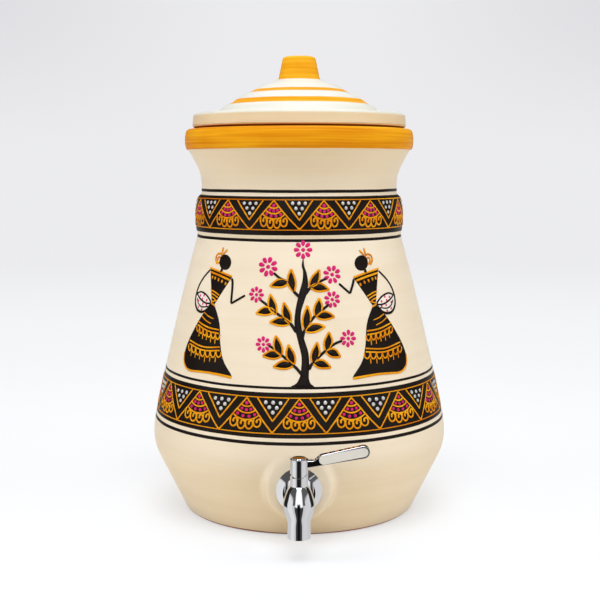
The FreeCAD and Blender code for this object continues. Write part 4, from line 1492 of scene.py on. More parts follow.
    def _fill_piece(self, paint: Paint, shapes: list) -> bpy.types.Object:
        """Lays all filled shapes of one paint.

        Args:
            paint: The paint.
            shapes: The edge and thickness of each shape.

        Returns:
            The piece.
        """
        mesh = bmesh.new()
        for edge, lift in shapes:
            self._add_shape(mesh, edge, lift)
        name = self._piece_name(paint, "fill")
        data = bpy.data.meshes.new(name)
        mesh.to_mesh(data)
        mesh.free()
        return linked(name, data)

    def _add_shape(self, mesh: bmesh.types.BMesh, edge: np.ndarray, lift: float) -> None:
        """Adds one filled shape: cut into cells, wrapped on the wall and made solid.

        Args:
            mesh: The mesh that it goes into.
            edge: The points of its edge.
            lift: How thick it is.
        """
        cell, sunk, bevel = 3.0, -0.1, 0.25
        flat = bmesh.new()
        face = flat.faces.new([flat.verts.new((x, y, 0.0)) for x, y in edge])
        if signed_area(edge) < 0:
            bmesh.ops.reverse_faces(flat, faces=[face])
        bmesh.ops.triangulate(flat, faces=flat.faces[:])
        low, high = edge.min(axis=0), edge.max(axis=0)
        for axis, normal in ((0, (1, 0, 0)), (1, (0, 1, 0))):
            for level in np.arange(low[axis] + cell, high[axis], cell):
                everything = flat.verts[:] + flat.edges[:] + flat.faces[:]
                bmesh.ops.bisect_plane(flat, geom=everything, dist=10 * TOUCHING,
                                       plane_co=[float(level) * part for part in normal],
                                       plane_no=normal)
        rim = {vert for e in flat.edges if e.is_boundary for vert in e.verts}
        flat_places = np.array([(v.co.x, v.co.y) for v in flat.verts])
        lifts = np.array([lift - (bevel * lift if v in rim else 0.0) for v in flat.verts])
        top = self.canvas.place(flat_places, lifts)
        under = self.canvas.place(flat_places, sunk)
        pairs = {}
        for number, vert in enumerate(flat.verts):
            pairs[vert] = (mesh.verts.new(top[number] * MM), mesh.verts.new(under[number] * MM))
        for face in flat.faces:
            mesh.faces.new([pairs[v][0] for v in face.verts]).smooth = True
            mesh.faces.new([pairs[v][1] for v in reversed(face.verts)])
        for e in flat.edges:
            if e.is_boundary:
                loop = e.link_loops[0]
                start, end = pairs[loop.vert], pairs[loop.link_loop_next.vert]
                mesh.faces.new([*start, *reversed(end)])
        flat.free()


@dataclass(frozen=True)
class BandPattern:
    """One painted band: a zigzag with a fan under each peak and pearls in the gaps between.

    Attributes:
        name: What its pieces are called.
        repeats: How many fans go round.
        around: The wall's mean radius in the band.
        top: Height of the upper ochre line.
        bottom: Height of the lower ochre line.
        pearl_apex: Height of the point of the pearls' triangle.
        pearl_half: Half the width of that triangle at its top.
        fan_at_front: Whether a fan, and not a pearl triangle, is over the tap.
        arcs: Distance of the fan's three arcs from its peak.
        dot_rows: Distance of the fan's three rows of dots from its peak.
        curl_spacing: Distance from one curl's middle to the next.
        curl_half: Half a curl's width.
        curl_tops: How far below the peak the inner and outer curls start.
        curl_bottoms: How far below the peak they end.
        pearl_spacing: Distance between pearls in a row.
        pearl_rows: How far below the upper line the three rows of pearls are.
        pearl_size: A pearl's width.
        drift: How far the copies stray from even places, in degrees.
        drift_waves: How many times they stray to and fro on the way round.
        line_width: Width of the ochre lines.
        curl_width: Width of a curl's line.
        dot_size: A dot's width.
        pearl_height: How far a pearl stands off the clay.
    """

    name: str
    repeats: int
    around: float
    top: float
    bottom: float
    pearl_apex: float
    pearl_half: float
    fan_at_front: bool
    arcs: tuple[float, float, float]
    dot_rows: tuple[float, float, float]
    curl_spacing: float
    curl_half: float
    curl_tops: tuple[float, float]
    curl_bottoms: tuple[float, float]
    pearl_spacing: float
    pearl_rows: tuple[float, float, float]
    pearl_size: float
    drift: float
    drift_waves: int
    line_width: float = 1.2
    curl_width: float = 1.35
    dot_size: float = 2.7
    pearl_height: float = 0.75

    BORDER_SHARE = 0.36
    DOTS = (1, 3, 4)
    PEARLS = (3, 2, 1)
    LOOP = ((-0.9, -0.05), (-1.04, 0.42), (-0.74, 0.84), (0.0, 1.0), (0.74, 0.84),
            (1.04, 0.44), (0.78, 0.12), (0.3, 0.06))
    HOOK = ((0.62, 0.1), (0.16, 0.12), (-0.12, 0.32), (0.04, 0.54))

    @property
    def pitch(self) -> float:
        """Distance from one fan to the next along the wall."""
        return 2 * math.pi * self.around / self.repeats

    def build(self, outline: Outline) -> None:
        """Draws one repeat and sends it round the pot.

        Args:
            outline: The pot's section.
        """
        rings = RingPaint(outline, "pot")
        half = self.line_width * self.BORDER_SHARE
        for side, height in (("upper", self.top), ("lower", self.bottom)):
            middle = outline.arc_where(height)
            rings.band(f"{self.name}_{side}_ochre_line", Paint.OCHRE, middle - half,
                       middle + half, lift=0.3, sway=0.1)
        drawing = Drawing(self.name, Canvas(outline, self.around), self.repeats, self.drift,
                          self.drift_waves)
        shift = 0.0 if self.fan_at_front else self.pitch / 2
        self._fan(drawing, shift)
        self._pearls(drawing, shift - self.pitch / 2)
        drawing.build()

    def _fan(self, drawing: Drawing, middle: float) -> None:
        """A peak of the zigzag with its arcs, dots and curls.

        Args:
            drawing: The drawing that it goes into.
            middle: Where the peak is.
        """
        peak, foot, half = self.top - 0.6, self.bottom + 0.4, self.pitch / 2
        knot_half, knot_height, knot_width = 1.3, 0.9, 1.3
        dot_height, first_dot = 0.4, 1.15
        spread = math.degrees(math.atan2(half, peak - foot))
        zigzag = [(middle - half, foot), (middle, peak), (middle + half, foot)]
        knot = [(middle + half - knot_half, foot), (middle + half, foot + knot_height),
                (middle + half + knot_half, foot)]
        drawing.stroke(Paint.OCHRE, zigzag, self.line_width, smooth=False)
        drawing.stroke(Paint.OCHRE, knot, knot_width, smooth=False)

        def polar(distance: float, angle: float) -> Point:
            """A point at a distance from the peak, at an angle from straight down."""
            turn = math.radians(angle)
            return middle + distance * math.sin(turn), peak - distance * math.cos(turn)

        for distance in self.arcs:
            angles = np.linspace(-spread, spread, 9)
            drawing.stroke(Paint.OCHRE, [polar(distance, a) for a in angles], self.line_width)
        for distance, count in zip(self.dot_rows, self.DOTS):
            inner = spread - math.degrees(self.dot_size / distance)
            size = self.dot_size * (first_dot if count == 1 else 1.0)
            for angle in np.linspace(-inner, inner, count) if count > 1 else (0.0,):
                drawing.dab(Paint.PINK, "dots", polar(distance, angle), size, size, dot_height)
        for number in range(4):
            across = (number - 1.5) * self.curl_spacing
            outer = int(abs(across) > self.curl_spacing)
            self._curl(drawing, middle + across, peak - self.curl_tops[outer],
                       peak - self.curl_bottoms[outer])

    def _curl(self, drawing: Drawing, middle: float, top: float, bottom: float) -> None:
        """One hanging loop with a hook that turns in to a blob.

        Args:
            drawing: The drawing that it goes into.
            middle: Its middle.
            top: The height that it hangs from.
            bottom: The height of its lowest point.
        """
        drop = top - bottom
        loop, hook = ([(middle + self.curl_half * across, top - drop * down)
                       for across, down in shape] for shape in (self.LOOP, self.HOOK))
        thin_end, blob = 0.7, 1.65
        drawing.stroke(Paint.OCHRE, loop, self.curl_width)
        drawing.stroke(Paint.OCHRE, hook, self.curl_width * thin_end, self.curl_width * blob)

    def _pearls(self, drawing: Drawing, middle: float) -> None:
        """The downward triangle between two fans, with its six pearls.

        Args:
            drawing: The drawing that it goes into.
            middle: Where its point is.
        """
        top = self.top - 0.3
        triangle = [(middle - self.pearl_half, top), (middle, self.pearl_apex),
                    (middle + self.pearl_half, top)]
        drawing.stroke(Paint.OCHRE, triangle, self.line_width, smooth=False)
        for down, count in zip(self.pearl_rows, self.PEARLS):
            for number in range(count):
                across = (number - (count - 1) / 2) * self.pearl_spacing
                drawing.dab(Paint.PEARL, "pearls", (middle + across, self.top - down),
                            self.pearl_size, self.pearl_size, self.pearl_height)


UPPER_BAND = BandPattern(
    "belt", repeats=13, around=88.6, top=264.7, bottom=241.4, pearl_apex=249.4, pearl_half=11.8,
    fan_at_front=False, arcs=(6.0, 10.1, 14.1), dot_rows=(3.9, 8.0, 12.0), curl_spacing=5.8,
    curl_half=2.65, curl_tops=(14.1, 12.6), curl_bottoms=(21.2, 19.8), pearl_spacing=5.3,
    pearl_rows=(2.6, 6.4, 10.3), pearl_size=2.9, drift=1.3, drift_waves=3)

LOWER_BAND = BandPattern(
    "lower_band", repeats=17, around=118.4, top=114.4, bottom=87.3, pearl_apex=96.6,
    pearl_half=13.2, fan_at_front=True, arcs=(6.8, 11.8, 17.0), dot_rows=(4.1, 9.4, 14.5),
    curl_spacing=6.5, curl_half=2.95, curl_tops=(17.0, 15.6), curl_bottoms=(23.7, 22.2),
    pearl_spacing=6.1, pearl_rows=(3.8, 7.5, 11.2), pearl_size=3.2, drift=1.1, drift_waves=4)


@dataclass(frozen=True)
class LeafPair:
    """Two leaves at one place on a branch: one that stands up and one that reaches out.

    Attributes:
        upper_base: Where the standing leaf starts.
        upper_lean: How far it leans outwards, in degrees.
        upper_length: Its length.
        side_base: Where the reaching leaf starts.
        side_rise: How far it rises above the level, in degrees.
        side_length: Its length.
    """

    upper_base: Point
    upper_lean: float
    upper_length: float
    side_base: Point
    side_rise: float
    side_length: float


@dataclass(frozen=True)
class Branch:
    """A branch as a stroke from the trunk to its flower, with its leaves.

    Attributes:
        line: The points of its stroke.
        flower: The middle of its flower.
        flower_size: The flower's size. 1 is the usual size.
        leaves: Its pairs of leaves.
    """

    line: tuple[Point, ...]
    flower: Point
    flower_size: float
    leaves: tuple[LeafPair, ...]


@dataclass
class FlowerTree:
    """The painted tree over the tap: a bent trunk, six branches, paired leaves and flowers.

    Attributes:
        outline: The pot's section.
        trunk_left: The trunk's left edge, from the top down.
        trunk_right: Its right edge, from the bottom up.
        top_flower: The middle of the flower on its top.
        top_size: That flower's size.
        branches: Its branches.
        branch_width: A branch's width at its end.
        branch_taper: How much wider it is at its start.
        leaf_width: A leaf's width.
        leaf_outline: The width of its outline.
        leaf_bend: How far a leaf's middle is bent to one side.
        blade_width: The dark blade's share of the width inside the outline.
        blade_reach: The shares of the leaf's length between which the blade lies.
        petals: How many petals a flower has.
        petal_distance: How far their middles are from the flower's middle.
        petal_taper: How much wider a petal is at its far end.
    """

    outline: Outline
    trunk_left: tuple[Point, ...] = (
        (3, 220), (2, 214), (3, 209.5), (2.5, 202.5), (-0.5, 191.5), (-3, 179), (-3.5, 168.5),
        (-0.5, 155.5), (1.8, 145.5), (1.6, 136), (0.4, 129.8), (-2.1, 125.4), (-6.5, 122))
    trunk_right: tuple[Point, ...] = (
        (11.2, 122), (8.7, 125.4), (7.5, 130), (7.9, 139.5), (7, 149), (4, 158.5), (1.5, 170),
        (1.5, 178.5), (4, 187), (6, 193), (7, 200), (6, 208), (4, 214), (3.5, 220))
    top_flower: Point = (3.1, 226.2)
    top_size: float = 0.98
    branches: tuple[Branch, ...] = (
        Branch(((4.5, 192), (9, 197.5), (14.5, 201), (22, 204.5)), (26, 207), 0.97,
               (LeafPair((8, 197.5), 30, 15.7, (8.5, 197.5), -7.5, 15.4),)),
        Branch(((2.5, 159), (4.5, 165.5), (12, 175.5), (23.5, 184.5)), (26, 188), 0.88,
               (LeafPair((12.5, 175.5), 13, 14.2, (13, 175.5), -3, 14.9),
                LeafPair((4, 165), 7, 19.0, (4.5, 164.5), 11, 16.2))),
        Branch(((7.5, 135.5), (10.5, 140.5), (20.5, 149.5), (28, 154.5), (34, 156.5)),
               (39, 158), 0.9,
               (LeafPair((20.5, 149.5), 11, 14.5, (20.5, 149), -21, 13.0),
                LeafPair((10, 140.5), 14, 16.2, (10.5, 140.5), -15, 14.8))),
        Branch(((0.5, 190), (-4, 194.5), (-8, 201), (-15, 204.5), (-20, 208.5)), (-24.5, 213), 1.05,
               (LeafPair((-4, 194), 7, 17.8, (-8, 201), -11, 15.2),)),
        Branch(((-2, 163.5), (-7, 170.5), (-12.5, 174.5), (-18.5, 178.5), (-24, 183),
                (-30.5, 187.5)), (-34, 191.5), 0.84,
               (LeafPair((-18, 176.5), 16, 16.4, (-19, 179.5), -9, 15.4),
                LeafPair((-6.5, 170), 18, 17.1, (-6.5, 170.5), 1, 16.6))),
        Branch(((3.5, 130.5), (-3.5, 138), (-13.5, 146.5), (-18.5, 150.5), (-24, 153.5)),
               (-28, 154), 0.84,
               (LeafPair((-13.5, 146), 17, 15.7, (-13.5, 146), -3, 15.1),
                LeafPair((-3.5, 139.5), 18, 15.7, (-4, 139), -6, 16.2))))
    branch_width: float = 1.9
    branch_taper: float = 0.6
    leaf_width: float = 7.7
    leaf_outline: float = 1.4
    leaf_bend: float = 0.9
    blade_width: float = 0.82
    blade_reach: tuple[float, float] = (0.07, 0.93)
    petals: int = 8
    petal_distance: float = 5.1
    petal_taper: float = 0.22

    def build(self) -> None:
        """Draws the tree."""
        drawing = Drawing("tree", Canvas(self.outline))
        drawing.fill(Paint.BLACK, [*self.trunk_left, *self.trunk_right])
        for branch in self.branches:
            drawing.stroke(Paint.BLACK, branch.line, self.branch_width + self.branch_taper,
                           self.branch_width)
            outwards = 1 if branch.flower[0] > self.top_flower[0] else -1
            for pair in branch.leaves:
                standing = 90 - outwards * pair.upper_lean
                self._leaf(drawing, pair.upper_base, standing, pair.upper_length, -outwards)
                reaching = pair.side_rise if outwards > 0 else 180 - pair.side_rise
                self._leaf(drawing, pair.side_base, reaching, pair.side_length, outwards)
            self._flower(drawing, branch.flower, 8.0 * branch.flower[0], branch.flower_size)
        self._flower(drawing, self.top_flower, 0.0, self.top_size)
        drawing.build(taper=self.petal_taper)

    def _leaf(self, drawing: Drawing, base: Point, heading: float, length: float,
              bend: int) -> None:
        """Draws one leaf: a dark blade inside an ochre outline that runs out to its tip.

        Args:
            drawing: The drawing that it goes into.
            base: Where it starts.
            heading: The way that it points, in degrees from the rightward line.
            length: Its length.
            bend: 1 where its middle is bent to its left, and -1 to its right.
        """
        turn = math.radians(heading)
        ahead, aside = (math.cos(turn), math.sin(turn)), (-math.sin(turn), math.cos(turn))

        def spot(along: float, across: float) -> Point:
            """Finds a point of the leaf, with the leaf's own slight bend.

            Args:
                along: The distance from its base.
                across: The distance from its middle line.

            Returns:
                The point on the wall.
            """
            bowed = across + bend * self.leaf_bend * math.sin(math.pi * along / length)
            return (base[0] + ahead[0] * along + aside[0] * bowed,
                    base[1] + ahead[1] * along + aside[1] * bowed)

        def edge(shares: Iterable[float], half: float, start: float, end: float) -> list[Point]:
            """One side of the leaf, fullest a little before its middle."""
            return [spot(start + share * (end - start),
                         half * math.sin(math.pi * share ** 0.85)) for share in shares]

        shares = (0.0, 0.14, 0.32, 0.5, 0.68, 0.86, 1.0)
        half = (self.leaf_width - self.leaf_outline) / 2
        for side in (1, -1):
            drawing.stroke(Paint.OCHRE, edge(shares, side * half, 0.0, length),
                           self.leaf_outline, self.leaf_outline * 1.1)
        start, end = (length * share for share in self.blade_reach)
        blade = edge(shares, half * self.blade_width, start, end)
        blade += edge(shares[-2:0:-1], -half * self.blade_width, start, end)
        drawing.fill(Paint.BLACK, blade)

    def _flower(self, drawing: Drawing, centre: Point, turn: float, size: float) -> None:
        """Sets a flower's petals round its middle dot.

        Args:
            drawing: The drawing that it goes into.
            centre: Its middle.
            turn: The way that its first petal points, in degrees.
            size: Its size. 1 is the usual size.
        """
        drawing.dab(Paint.PINK, "hearts", centre, 3.4 * size, 3.4 * size, 0.45)
        for number in range(self.petals):
            angle = turn + number * 360 / self.petals
            out = math.radians(angle)
            place = (centre[0] + size * self.petal_distance * math.cos(out),
                     centre[1] + size * self.petal_distance * math.sin(out))
            drawing.dab(Paint.PINK, "petals", place, 5.0 * size, 3.4 * size, 0.4, heading=angle)


@dataclass
class Dancer:
    """One painted folk figure with a basket on the hip, drawn as plain shapes without a face.

    Its points are measured from the waist, positive towards the tree, with heights above the
    base. The two figures are one drawing, mirrored, with the near arm held differently.

    Attributes:
        outline: The pot's section.
        name: What its pieces are called.
        waist: Distance of its waist from the front line.
        side: 1 where the tree is on its right, -1 where it is on its left.
        elbow: The near arm's elbow.
        hand: The near arm's hand.
        drawing: What it is drawn on.
    """

    outline: Outline
    name: str
    waist: float
    side: int
    elbow: Point
    hand: Point
    drawing: Drawing = field(init=False)

    def build(self) -> None:
        """Draws the figure."""
        self.drawing = Drawing(self.name, Canvas(self.outline))
        self._head()
        self._body()
        self._basket()
        self._arms()
        self._skirt()
        self.drawing.build()

    def _at(self, points: Iterable[Point]) -> list[Point]:
        """Moves points from the figure's own measure to the pot's."""
        return [(self.waist + self.side * across, height) for across, height in points]

    def _line(self, paint: Paint, points: Sequence[Point], width: float,
              end_width: float | None = None, smooth: bool = True) -> None:
        """Strokes a line of the figure."""
        self.drawing.stroke(paint, self._at(points), width, end_width, smooth)

    def _head(self) -> None:
        """The round head, the neck, the bun and its two pins."""
        middle, across, tall = (11, 215), 6.5, 6.0
        angles = np.linspace(0, 2 * math.pi, 20, endpoint=False)
        edge = [(middle[0] + across * math.cos(a), middle[1] + tall * math.sin(a)) for a in angles]
        self.drawing.fill(Paint.BLACK, self._at(edge))
        self._line(Paint.BLACK, ((8.5, 211), (6.8, 206.5)), 2.3, 3.0, smooth=False)
        for points in (((2, 213), (0, 217), (1.5, 220.5), (5, 221.5), (7.5, 220)),
                       ((4.5, 213.5), (2.5, 215.5), (3, 218.5), (6, 218.5))):
            self._line(Paint.OCHRE, points, 1.6, 1.5)
        for start, end in (((6.5, 220.5), (8.6, 226.5)), ((8, 220.5), (13.2, 225))):
            self._line(Paint.OCHRE, (start, end), 1.3, 1.8, smooth=False)

    def _body(self) -> None:
        """The bodice with its neckline, beads and waistband."""
        bodice = [(-6.3, 209.3), (6.5, 206.8), (18.7, 203.8), (9, 191.5), (1, 181.5), (-2, 182),
                  (-4, 195.5)]
        self.drawing.fill(Paint.BLACK, self._at(bodice), smooth=False)
        for points in (((-6.8, 209.8), (6.5, 207.3), (19, 204.2)),
                       ((-5.8, 206.6), (6.5, 204.2), (17, 201.3))):
            self._line(Paint.OCHRE, points, 1.5, 1.7)
        for spot in ((-3, 202.5), (0.5, 202), (4.5, 201), (8.5, 200), (12.5, 198.5)):
            place = self._at([spot])[0]
            self.drawing.dab(Paint.OCHRE, "beads", place, 2.9, 1.9, 0.4, 90 - 15 * self.side)
        for points in (((-4, 192.5), (0.5, 191.5), (6.5, 189)), ((-3.5, 190), (0.5, 189), (5, 187)),
                       ((-3, 187), (0, 186.5), (3, 184.5)), ((-2.5, 183.5), (0.5, 184), (4, 185))):
            self._line(Paint.OCHRE, points, 1.2, 1.0)

    def _basket(self) -> None:
        """The white basket under the far arm, with its rim, band and pink spots."""
        shape = [(-23, 188), (-25, 184), (-24, 179), (-20, 175.5), (-14.5, 174.5), (-8.5, 176.5),
                 (-3, 182), (-4, 184.5), (-9, 188), (-16.5, 190)]
        self.drawing.fill(Paint.WHITE, self._at(shape), lift=0.1)
        rim = ((-23, 188.5), (-16.5, 190), (-9, 188), (-3.5, 183.5), (-5, 182), (-10, 182),
               (-16.5, 184), (-21, 186.5))
        self.drawing.stroke(Paint.BLACK, self._at(rim), 1.4, closed=True)
        self._line(Paint.BLACK, ((-22.5, 184.5), (-19.5, 180.5), (-14.5, 178.5), (-6.5, 179.5)),
                   1.1)
        for spot in ((-18, 187), (-12.5, 187.5), (-14.5, 184.8), (-8.5, 184.2), (-20, 182.8),
                     (-13.5, 181), (-8.5, 180.8), (-19.5, 178), (-14.5, 176.5)):
            self.drawing.dab(Paint.PINK, "spots", self._at([spot])[0], 2.3, 1.8, 0.35, 60.0)

    def _arms(self) -> None:
        """The far arm round the basket and the near arm towards the tree."""
        far = ((-6.5, 208), (-15.5, 201), (-22, 193.5), (-25, 186), (-24.5, 180), (-20.5, 175.5),
               (-14.5, 174.5), (-8.5, 176.5), (-2.5, 182))
        self._line(Paint.BLACK, far, 1.7, 2.1)
        self._line(Paint.BLACK, ((18.5, 203), (19.5, 199), self.elbow), 2.2, 1.9)
        self._line(Paint.BLACK, (self.elbow, self.hand), 1.8, 1.9, smooth=False)

    def _skirt(self) -> None:
        """The long skirt with its two bands of loops and fringes and its ochre hem."""
        near = [(1, 181), (3.5, 177), (6.5, 170.5), (8, 163.5), (8.5, 155.5), (9.5, 149),
                (11, 142.5), (14, 137), (20.5, 127.5)]
        hem = [(9, 128.5), (-3, 129), (-15, 128.5), (-25.5, 128), (-32, 130), (-35.5, 134.5)]
        far = [(-35.5, 141), (-31, 150), (-24, 159.5), (-18, 167), (-12, 173.5), (-6, 178.5),
               (-1.5, 181.5)]
        self.drawing.fill(Paint.BLACK, self._at([*near, *hem, *far]))
        self._line(Paint.OCHRE, (near[-1], *hem, far[0]), 2.0, 1.4)
        self._line(Paint.OCHRE, ((-2.5, 182.5), (2, 180.5)), 1.4)
        for points in (((-10.5, 174.5), (-5, 172), (1, 170.5)), ((-13.5, 171.5), (-8, 168.5),
                                                                   (-1.5, 166.5))):
            self._line(Paint.OCHRE, points, 1.0, 0.8)
        self._trim(((-18.5, 167), (-5, 163.5), (7.5, 162.5)), 2.8, 6, 4.3)
        self._trim(((-28.5, 151), (-9.5, 148), (9, 149.5)), 2.6, 7, 4.6)

    def _trim(self, line: tuple[Point, ...], drop: float, loops: int, depth: float) -> None:
        """Two lines across the skirt, a row of hanging loops and a fringe under them.

        Args:
            line: The points of the upper line.
            drop: How far the lower line is below it.
            loops: How many loops there are.
            depth: How far they hang.
        """
        widen, slack, side_share, fringe_width = 1.08, 0.4, 0.62, (1.1, 0.8)
        second = [(across, height - drop) for across, height in line]
        self._line(Paint.OCHRE, line, 1.2)
        self._line(Paint.OCHRE, second, 1.2)
        path = smooth_line(second, 0.5)
        middle = path[:, 0].mean()
        for number in range(loops):
            start, end = (path[int(place / loops * (len(path) - 1))]
                          for place in (number, number + 1))
            start_x, end_x = (middle + widen * (spot[0] - middle) for spot in (start, end))
            width = end_x - start_x
            base = (start[1] + end[1]) / 2 - slack
            side = base - side_share * depth
            loop = ((start_x + 0.06 * width, base), (start_x + 0.12 * width, side),
                    (start_x + 0.5 * width, base - depth), (end_x - 0.12 * width, side),
                    (end_x - 0.06 * width, base))
            self._line(Paint.OCHRE, loop, 1.25)
            if number < loops - 1:
                fringe = 4.1 + 0.5 * math.sin(2.3 * number + loops)
                top = base - depth * 0.9
                self._line(Paint.OCHRE, ((end_x, top), (end_x - slack, top - fringe)),
                           *fringe_width)


@dataclass
class TapAndFixings:
    """The tap and what clamps it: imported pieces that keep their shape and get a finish."""

    def build(self) -> None:
        """Gives each packed metal, rubber and plastic piece the finish of its record slot."""
        slots = {row["node"]: row["material_slot"] for row in frame["record"]["subparts"]}
        for node, slot in slots.items():
            if slot not in Fitting.__members__:
                continue
            piece = frame["nodes"][node]
            piece.data.materials.clear()
            piece.data.materials.append(Fitting[slot].value.material())
            LOG.info("%s is finished as %s", node, slot)


@dataclass(frozen=True)
class Lamp:
    """A square soft light that points at the middle of the pot.

    Attributes:
        name: Its name.
        place: Where it is, in metres.
        size: The length of its side, in metres.
        power: Its power in watts.
        shines: Whether shiny surfaces show it.
    """

    name: str
    place: tuple[float, float, float]
    size: float
    power: float
    shines: bool = False


@dataclass(frozen=True)
class Card:
    """A bright or dark card of the studio, which only shiny surfaces show.

    Attributes:
        left: Its left edge, in degrees from straight in front of the tap, positive towards +X.
        right: Its right edge.
        low: Its lower edge, in degrees above the level.
        high: Its upper edge.
        glow: How bright it is. 1 is white.
        soft: How wide its blurred edge is, in degrees.
    """

    left: float
    right: float
    low: float
    high: float
    glow: float
    soft: float = 5.0


@dataclass
class Studio:
    """A pale floor, a pale room, soft lights and the camera of the photograph.

    Attributes:
        camera_place: Where the camera is, in metres.
        camera_tilt: Its tilt from straight down, in degrees.
        lens: Its focal length in millimetres.
        sensor: Its sensor's width in millimetres.
        far: The colour of the room and of the floor's far end.
        near: The colour of the floor close to the pot.
        corner: The colour of the room high up at its sides.
        bounce: The colour that the floor throws back onto the pot.
        daylight: The colour of the room's even light.
        lamplight: The colour of the lamps.
        ambient: How strong the even light is.
        walls: How bright the room looks in shiny surfaces where no card is.
        aim: Where the lamps point.
        floor_half: Half the floor's width in metres.
        lamps: The lamps.
        cards: The cards, each laid over the ones before it.
    """

    camera_place: tuple[float, float, float] = (0.0007, -0.960, 0.2886)
    camera_tilt: float = 83.34
    lens: float = 67.2
    sensor: float = 36.0
    far: Colour = srgb(236, 236, 239)
    near: Colour = srgb(248, 249, 251)
    corner: Colour = srgb(222, 221, 225)
    bounce: Colour = srgb(241, 229, 204)
    daylight: Colour = (1.0, 0.92, 0.83, 1.0)
    lamplight: tuple[float, float, float] = (0.94, 1.0, 1.075)
    ambient: float = 0.40
    walls: float = 0.72
    aim: tuple[float, float, float] = (0.0, 0.0, 0.18)
    floor_half: float = 6.0
    lamps: tuple[Lamp, ...] = (
        Lamp("key", (0.0, -0.65, 1.8), 1.1, 20.0, shines=True),
        Lamp("left_fill", (-1.38, -0.37, 1.18), 1.0, 7.8),
        Lamp("right_fill", (1.38, -0.37, 1.18), 1.0, 7.8),
        Lamp("back", (0.0, 1.4, 1.2), 1.2, 6.0))
    cards: tuple[Card, ...] = (
        Card(-175, -28, 3, 75, 0.10),
        Card(28, 175, 3, 75, 0.12),
        Card(-90, -47, -70, 15, 0.92),
        Card(46, 92, -70, 15, 0.78),
        Card(-138, -92, -14, 42, 0.02),
        Card(94, 132, -14, 42, 0.02),
        Card(-32, 30, -90, -2, 0.05),
        Card(-26, 24, -4, 56, 1.3, 9.0),
        Card(-13, 9, -90, 9, 0.006, 8.0))

    def build(self) -> None:
        """Sets up the view, the room, the floor and the lights."""
        self._camera()
        self._room()
        self._floor()
        for lamp in self.lamps:
            self._light(lamp)
        bpy.context.scene.view_settings.view_transform = "Standard"

    def _camera(self) -> None:
        """Places the camera in front of the tap."""
        data = bpy.data.cameras.new("camera")
        data.lens, data.sensor_width = self.lens, self.sensor
        camera = linked("camera", data)
        camera.location = self.camera_place
        camera.rotation_euler = (math.radians(self.camera_tilt), 0.0, 0.0)
        bpy.context.scene.camera = camera

    def _light(self, lamp: Lamp) -> None:
        """Adds a lamp.

        Args:
            lamp: The lamp.
        """
        data = bpy.data.lights.new(lamp.name, "AREA")
        data.size, data.energy, data.color = lamp.size, lamp.power, self.lamplight
        light = linked(lamp.name, data)
        light.location = lamp.place
        towards = Vector(self.aim) - light.location
        light.rotation_euler = towards.to_track_quat("-Z", "Y").to_euler()
        light.visible_glossy = lamp.shines

    @staticmethod
    def _ramp(tree: Tree, value: Socket, low: float, high: float) -> Socket:
        """Rises softly from 0 at one value to 1 at another."""
        limits = {"Value": value, "From Min": low, "From Max": high}
        return tree.get("ShaderNodeMapRange", limits, interpolation_type="SMOOTHSTEP")

    def _card_share(self, tree: Tree, card: Card, turn: Socket, rise: Socket) -> Socket:
        """Works out how much of a card lies in a direction.

        Args:
            tree: The room's tree.
            card: The card.
            turn: How far the direction is turned from the front.
            rise: How far it rises above the level.

        Returns:
            The socket that holds the share, from 0 to 1.
        """
        share: Socket | float = 1.0
        half = card.soft / 2
        for value, *edges in ((turn, card.left, card.right), (rise, card.low, card.high)):
            past = (self._ramp(tree, value, math.radians(edge - half), math.radians(edge + half))
                    for edge in edges)
            share = tree.math("MULTIPLY", share, tree.math("SUBTRACT", *past))
        return share

    def _room(self) -> None:
        """A pale room for the camera, cards for shiny surfaces, and an even light."""
        world = bpy.data.worlds.new("room")
        world.use_nodes = True
        bpy.context.scene.world = world
        tree = Tree(world.node_tree)
        path = tree.add("ShaderNodeLightPath").outputs
        towards = tree.add("ShaderNodeTexCoord").outputs["Generated"]
        parts = tree.add("ShaderNodeSeparateXYZ", {0: towards}).outputs
        turn = tree.math("ARCTAN2", parts["X"], tree.math("MULTIPLY", parts["Y"], -1.0))
        rise = tree.math("ARCSINE", parts["Z"])
        level: Socket | float = self.walls
        for card in self.cards:
            share = self._card_share(tree, card, turn, rise)
            level = tree.mix(share, level, card.glow)
        shiny = tree.math("MAXIMUM", path["Is Glossy Ray"], path["Is Transmission Ray"])
        strength = tree.mix(shiny, self.ambient, level)
        seen = tree.mix(path["Is Camera Ray"], strength, 1.0)
        aside = tree.math("ABSOLUTE", tree.math("ARCTAN2", parts["X"], parts["Y"]))
        shade = tree.math("MULTIPLY", self._ramp(tree, aside, 0.02, 0.32),
                          self._ramp(tree, rise, 0.0, 0.15))
        backdrop = tree.mix_colours(shade, self.far, self.corner)
        lit = tree.mix_colours(shiny, self.daylight, (1.0, 1.0, 1.0, 1.0))
        colour = tree.mix_colours(path["Is Camera Ray"], lit, backdrop)
        tree.feed(world.node_tree.nodes["Background"], {"Color": colour, "Strength": seen})

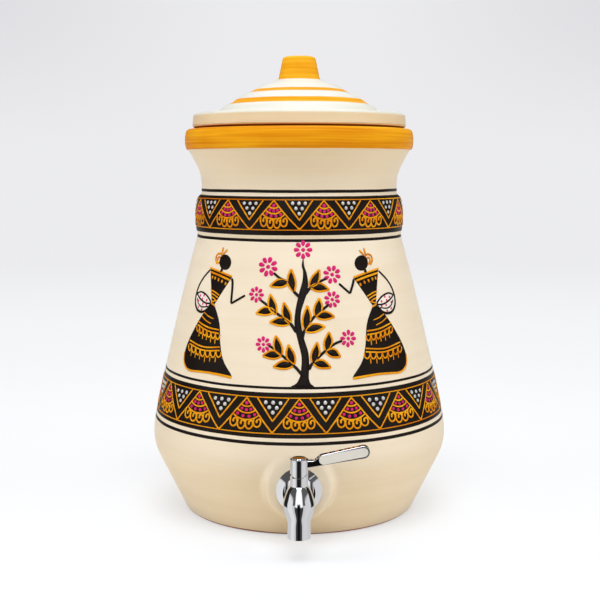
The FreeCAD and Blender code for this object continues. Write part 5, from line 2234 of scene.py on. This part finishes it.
    def _floor(self) -> None:
        """A floor that keeps the pot's shadow and fades into the room far away."""
        sides = np.array([(-1, -1, 0), (1, -1, 0), (1, 1, 0), (-1, 1, 0)])
        corners = sides * self.floor_half / MM
        floor = mesh_object("floor", corners, [(0, 1, 2, 3)], smooth=False)
        material = bpy.data.materials.new("floor")
        material.use_nodes = True
        tree = Tree(material.node_tree)
        place = tree.add("ShaderNodeTexCoord").outputs["Object"]
        away = tree.add("ShaderNodeVectorMath", {0: place}, operation="LENGTH").outputs["Value"]
        fade = tree.get("ShaderNodeMapRange", {"Value": away, "From Min": 0.2, "From Max": 1.2,
                                               "To Min": 0.55, "To Max": 1.0})
        path = tree.add("ShaderNodeLightPath").outputs
        ground = tree.mix_colours(path["Is Camera Ray"], self.bounce, self.near)
        shader = material.node_tree.nodes["Principled BSDF"]
        tree.feed(shader, {"Base Color": ground, "Roughness": 0.8, "Specular IOR Level": 0.1})
        share = tree.math("MULTIPLY", fade, path["Is Camera Ray"])
        tone = tree.mix_colours(self._ramp(tree, away, 0.3, 2.8), self.near, self.far)
        glow = tree.get("ShaderNodeEmission", {"Color": tone, "Strength": 1.0})
        mixed = tree.get("ShaderNodeMixShader", {0: share, 1: shader.outputs[0], 2: glow})
        tree.feed(material.node_tree.nodes["Material Output"], {"Surface": mixed})
        floor.data.materials.append(material)
        floor.visible_glossy = False


def main() -> None:
    """Builds the studio, the pot, the lid, the paint and the tap in order."""
    logging.basicConfig(level=logging.INFO, format="%(name)s: %(message)s")
    Studio().build()
    ShaderGroups()
    GeometryTrees()
    pot = PotShell()
    pot.build()
    PotLid().build()
    PotRings(pot.outline).build()
    UPPER_BAND.build(pot.outline)
    LOWER_BAND.build(pot.outline)
    FlowerTree(pot.outline).build()
    Dancer(pot.outline, "left_figure", -75.0, 1, (18.5, 183.5), (31.5, 190.5)).build()
    Dancer(pot.outline, "right_figure", 63.0, -1, (22.0, 192.0), (31.5, 200.0)).build()
    TapAndFixings().build()


if __name__ == "__main__":
    main()
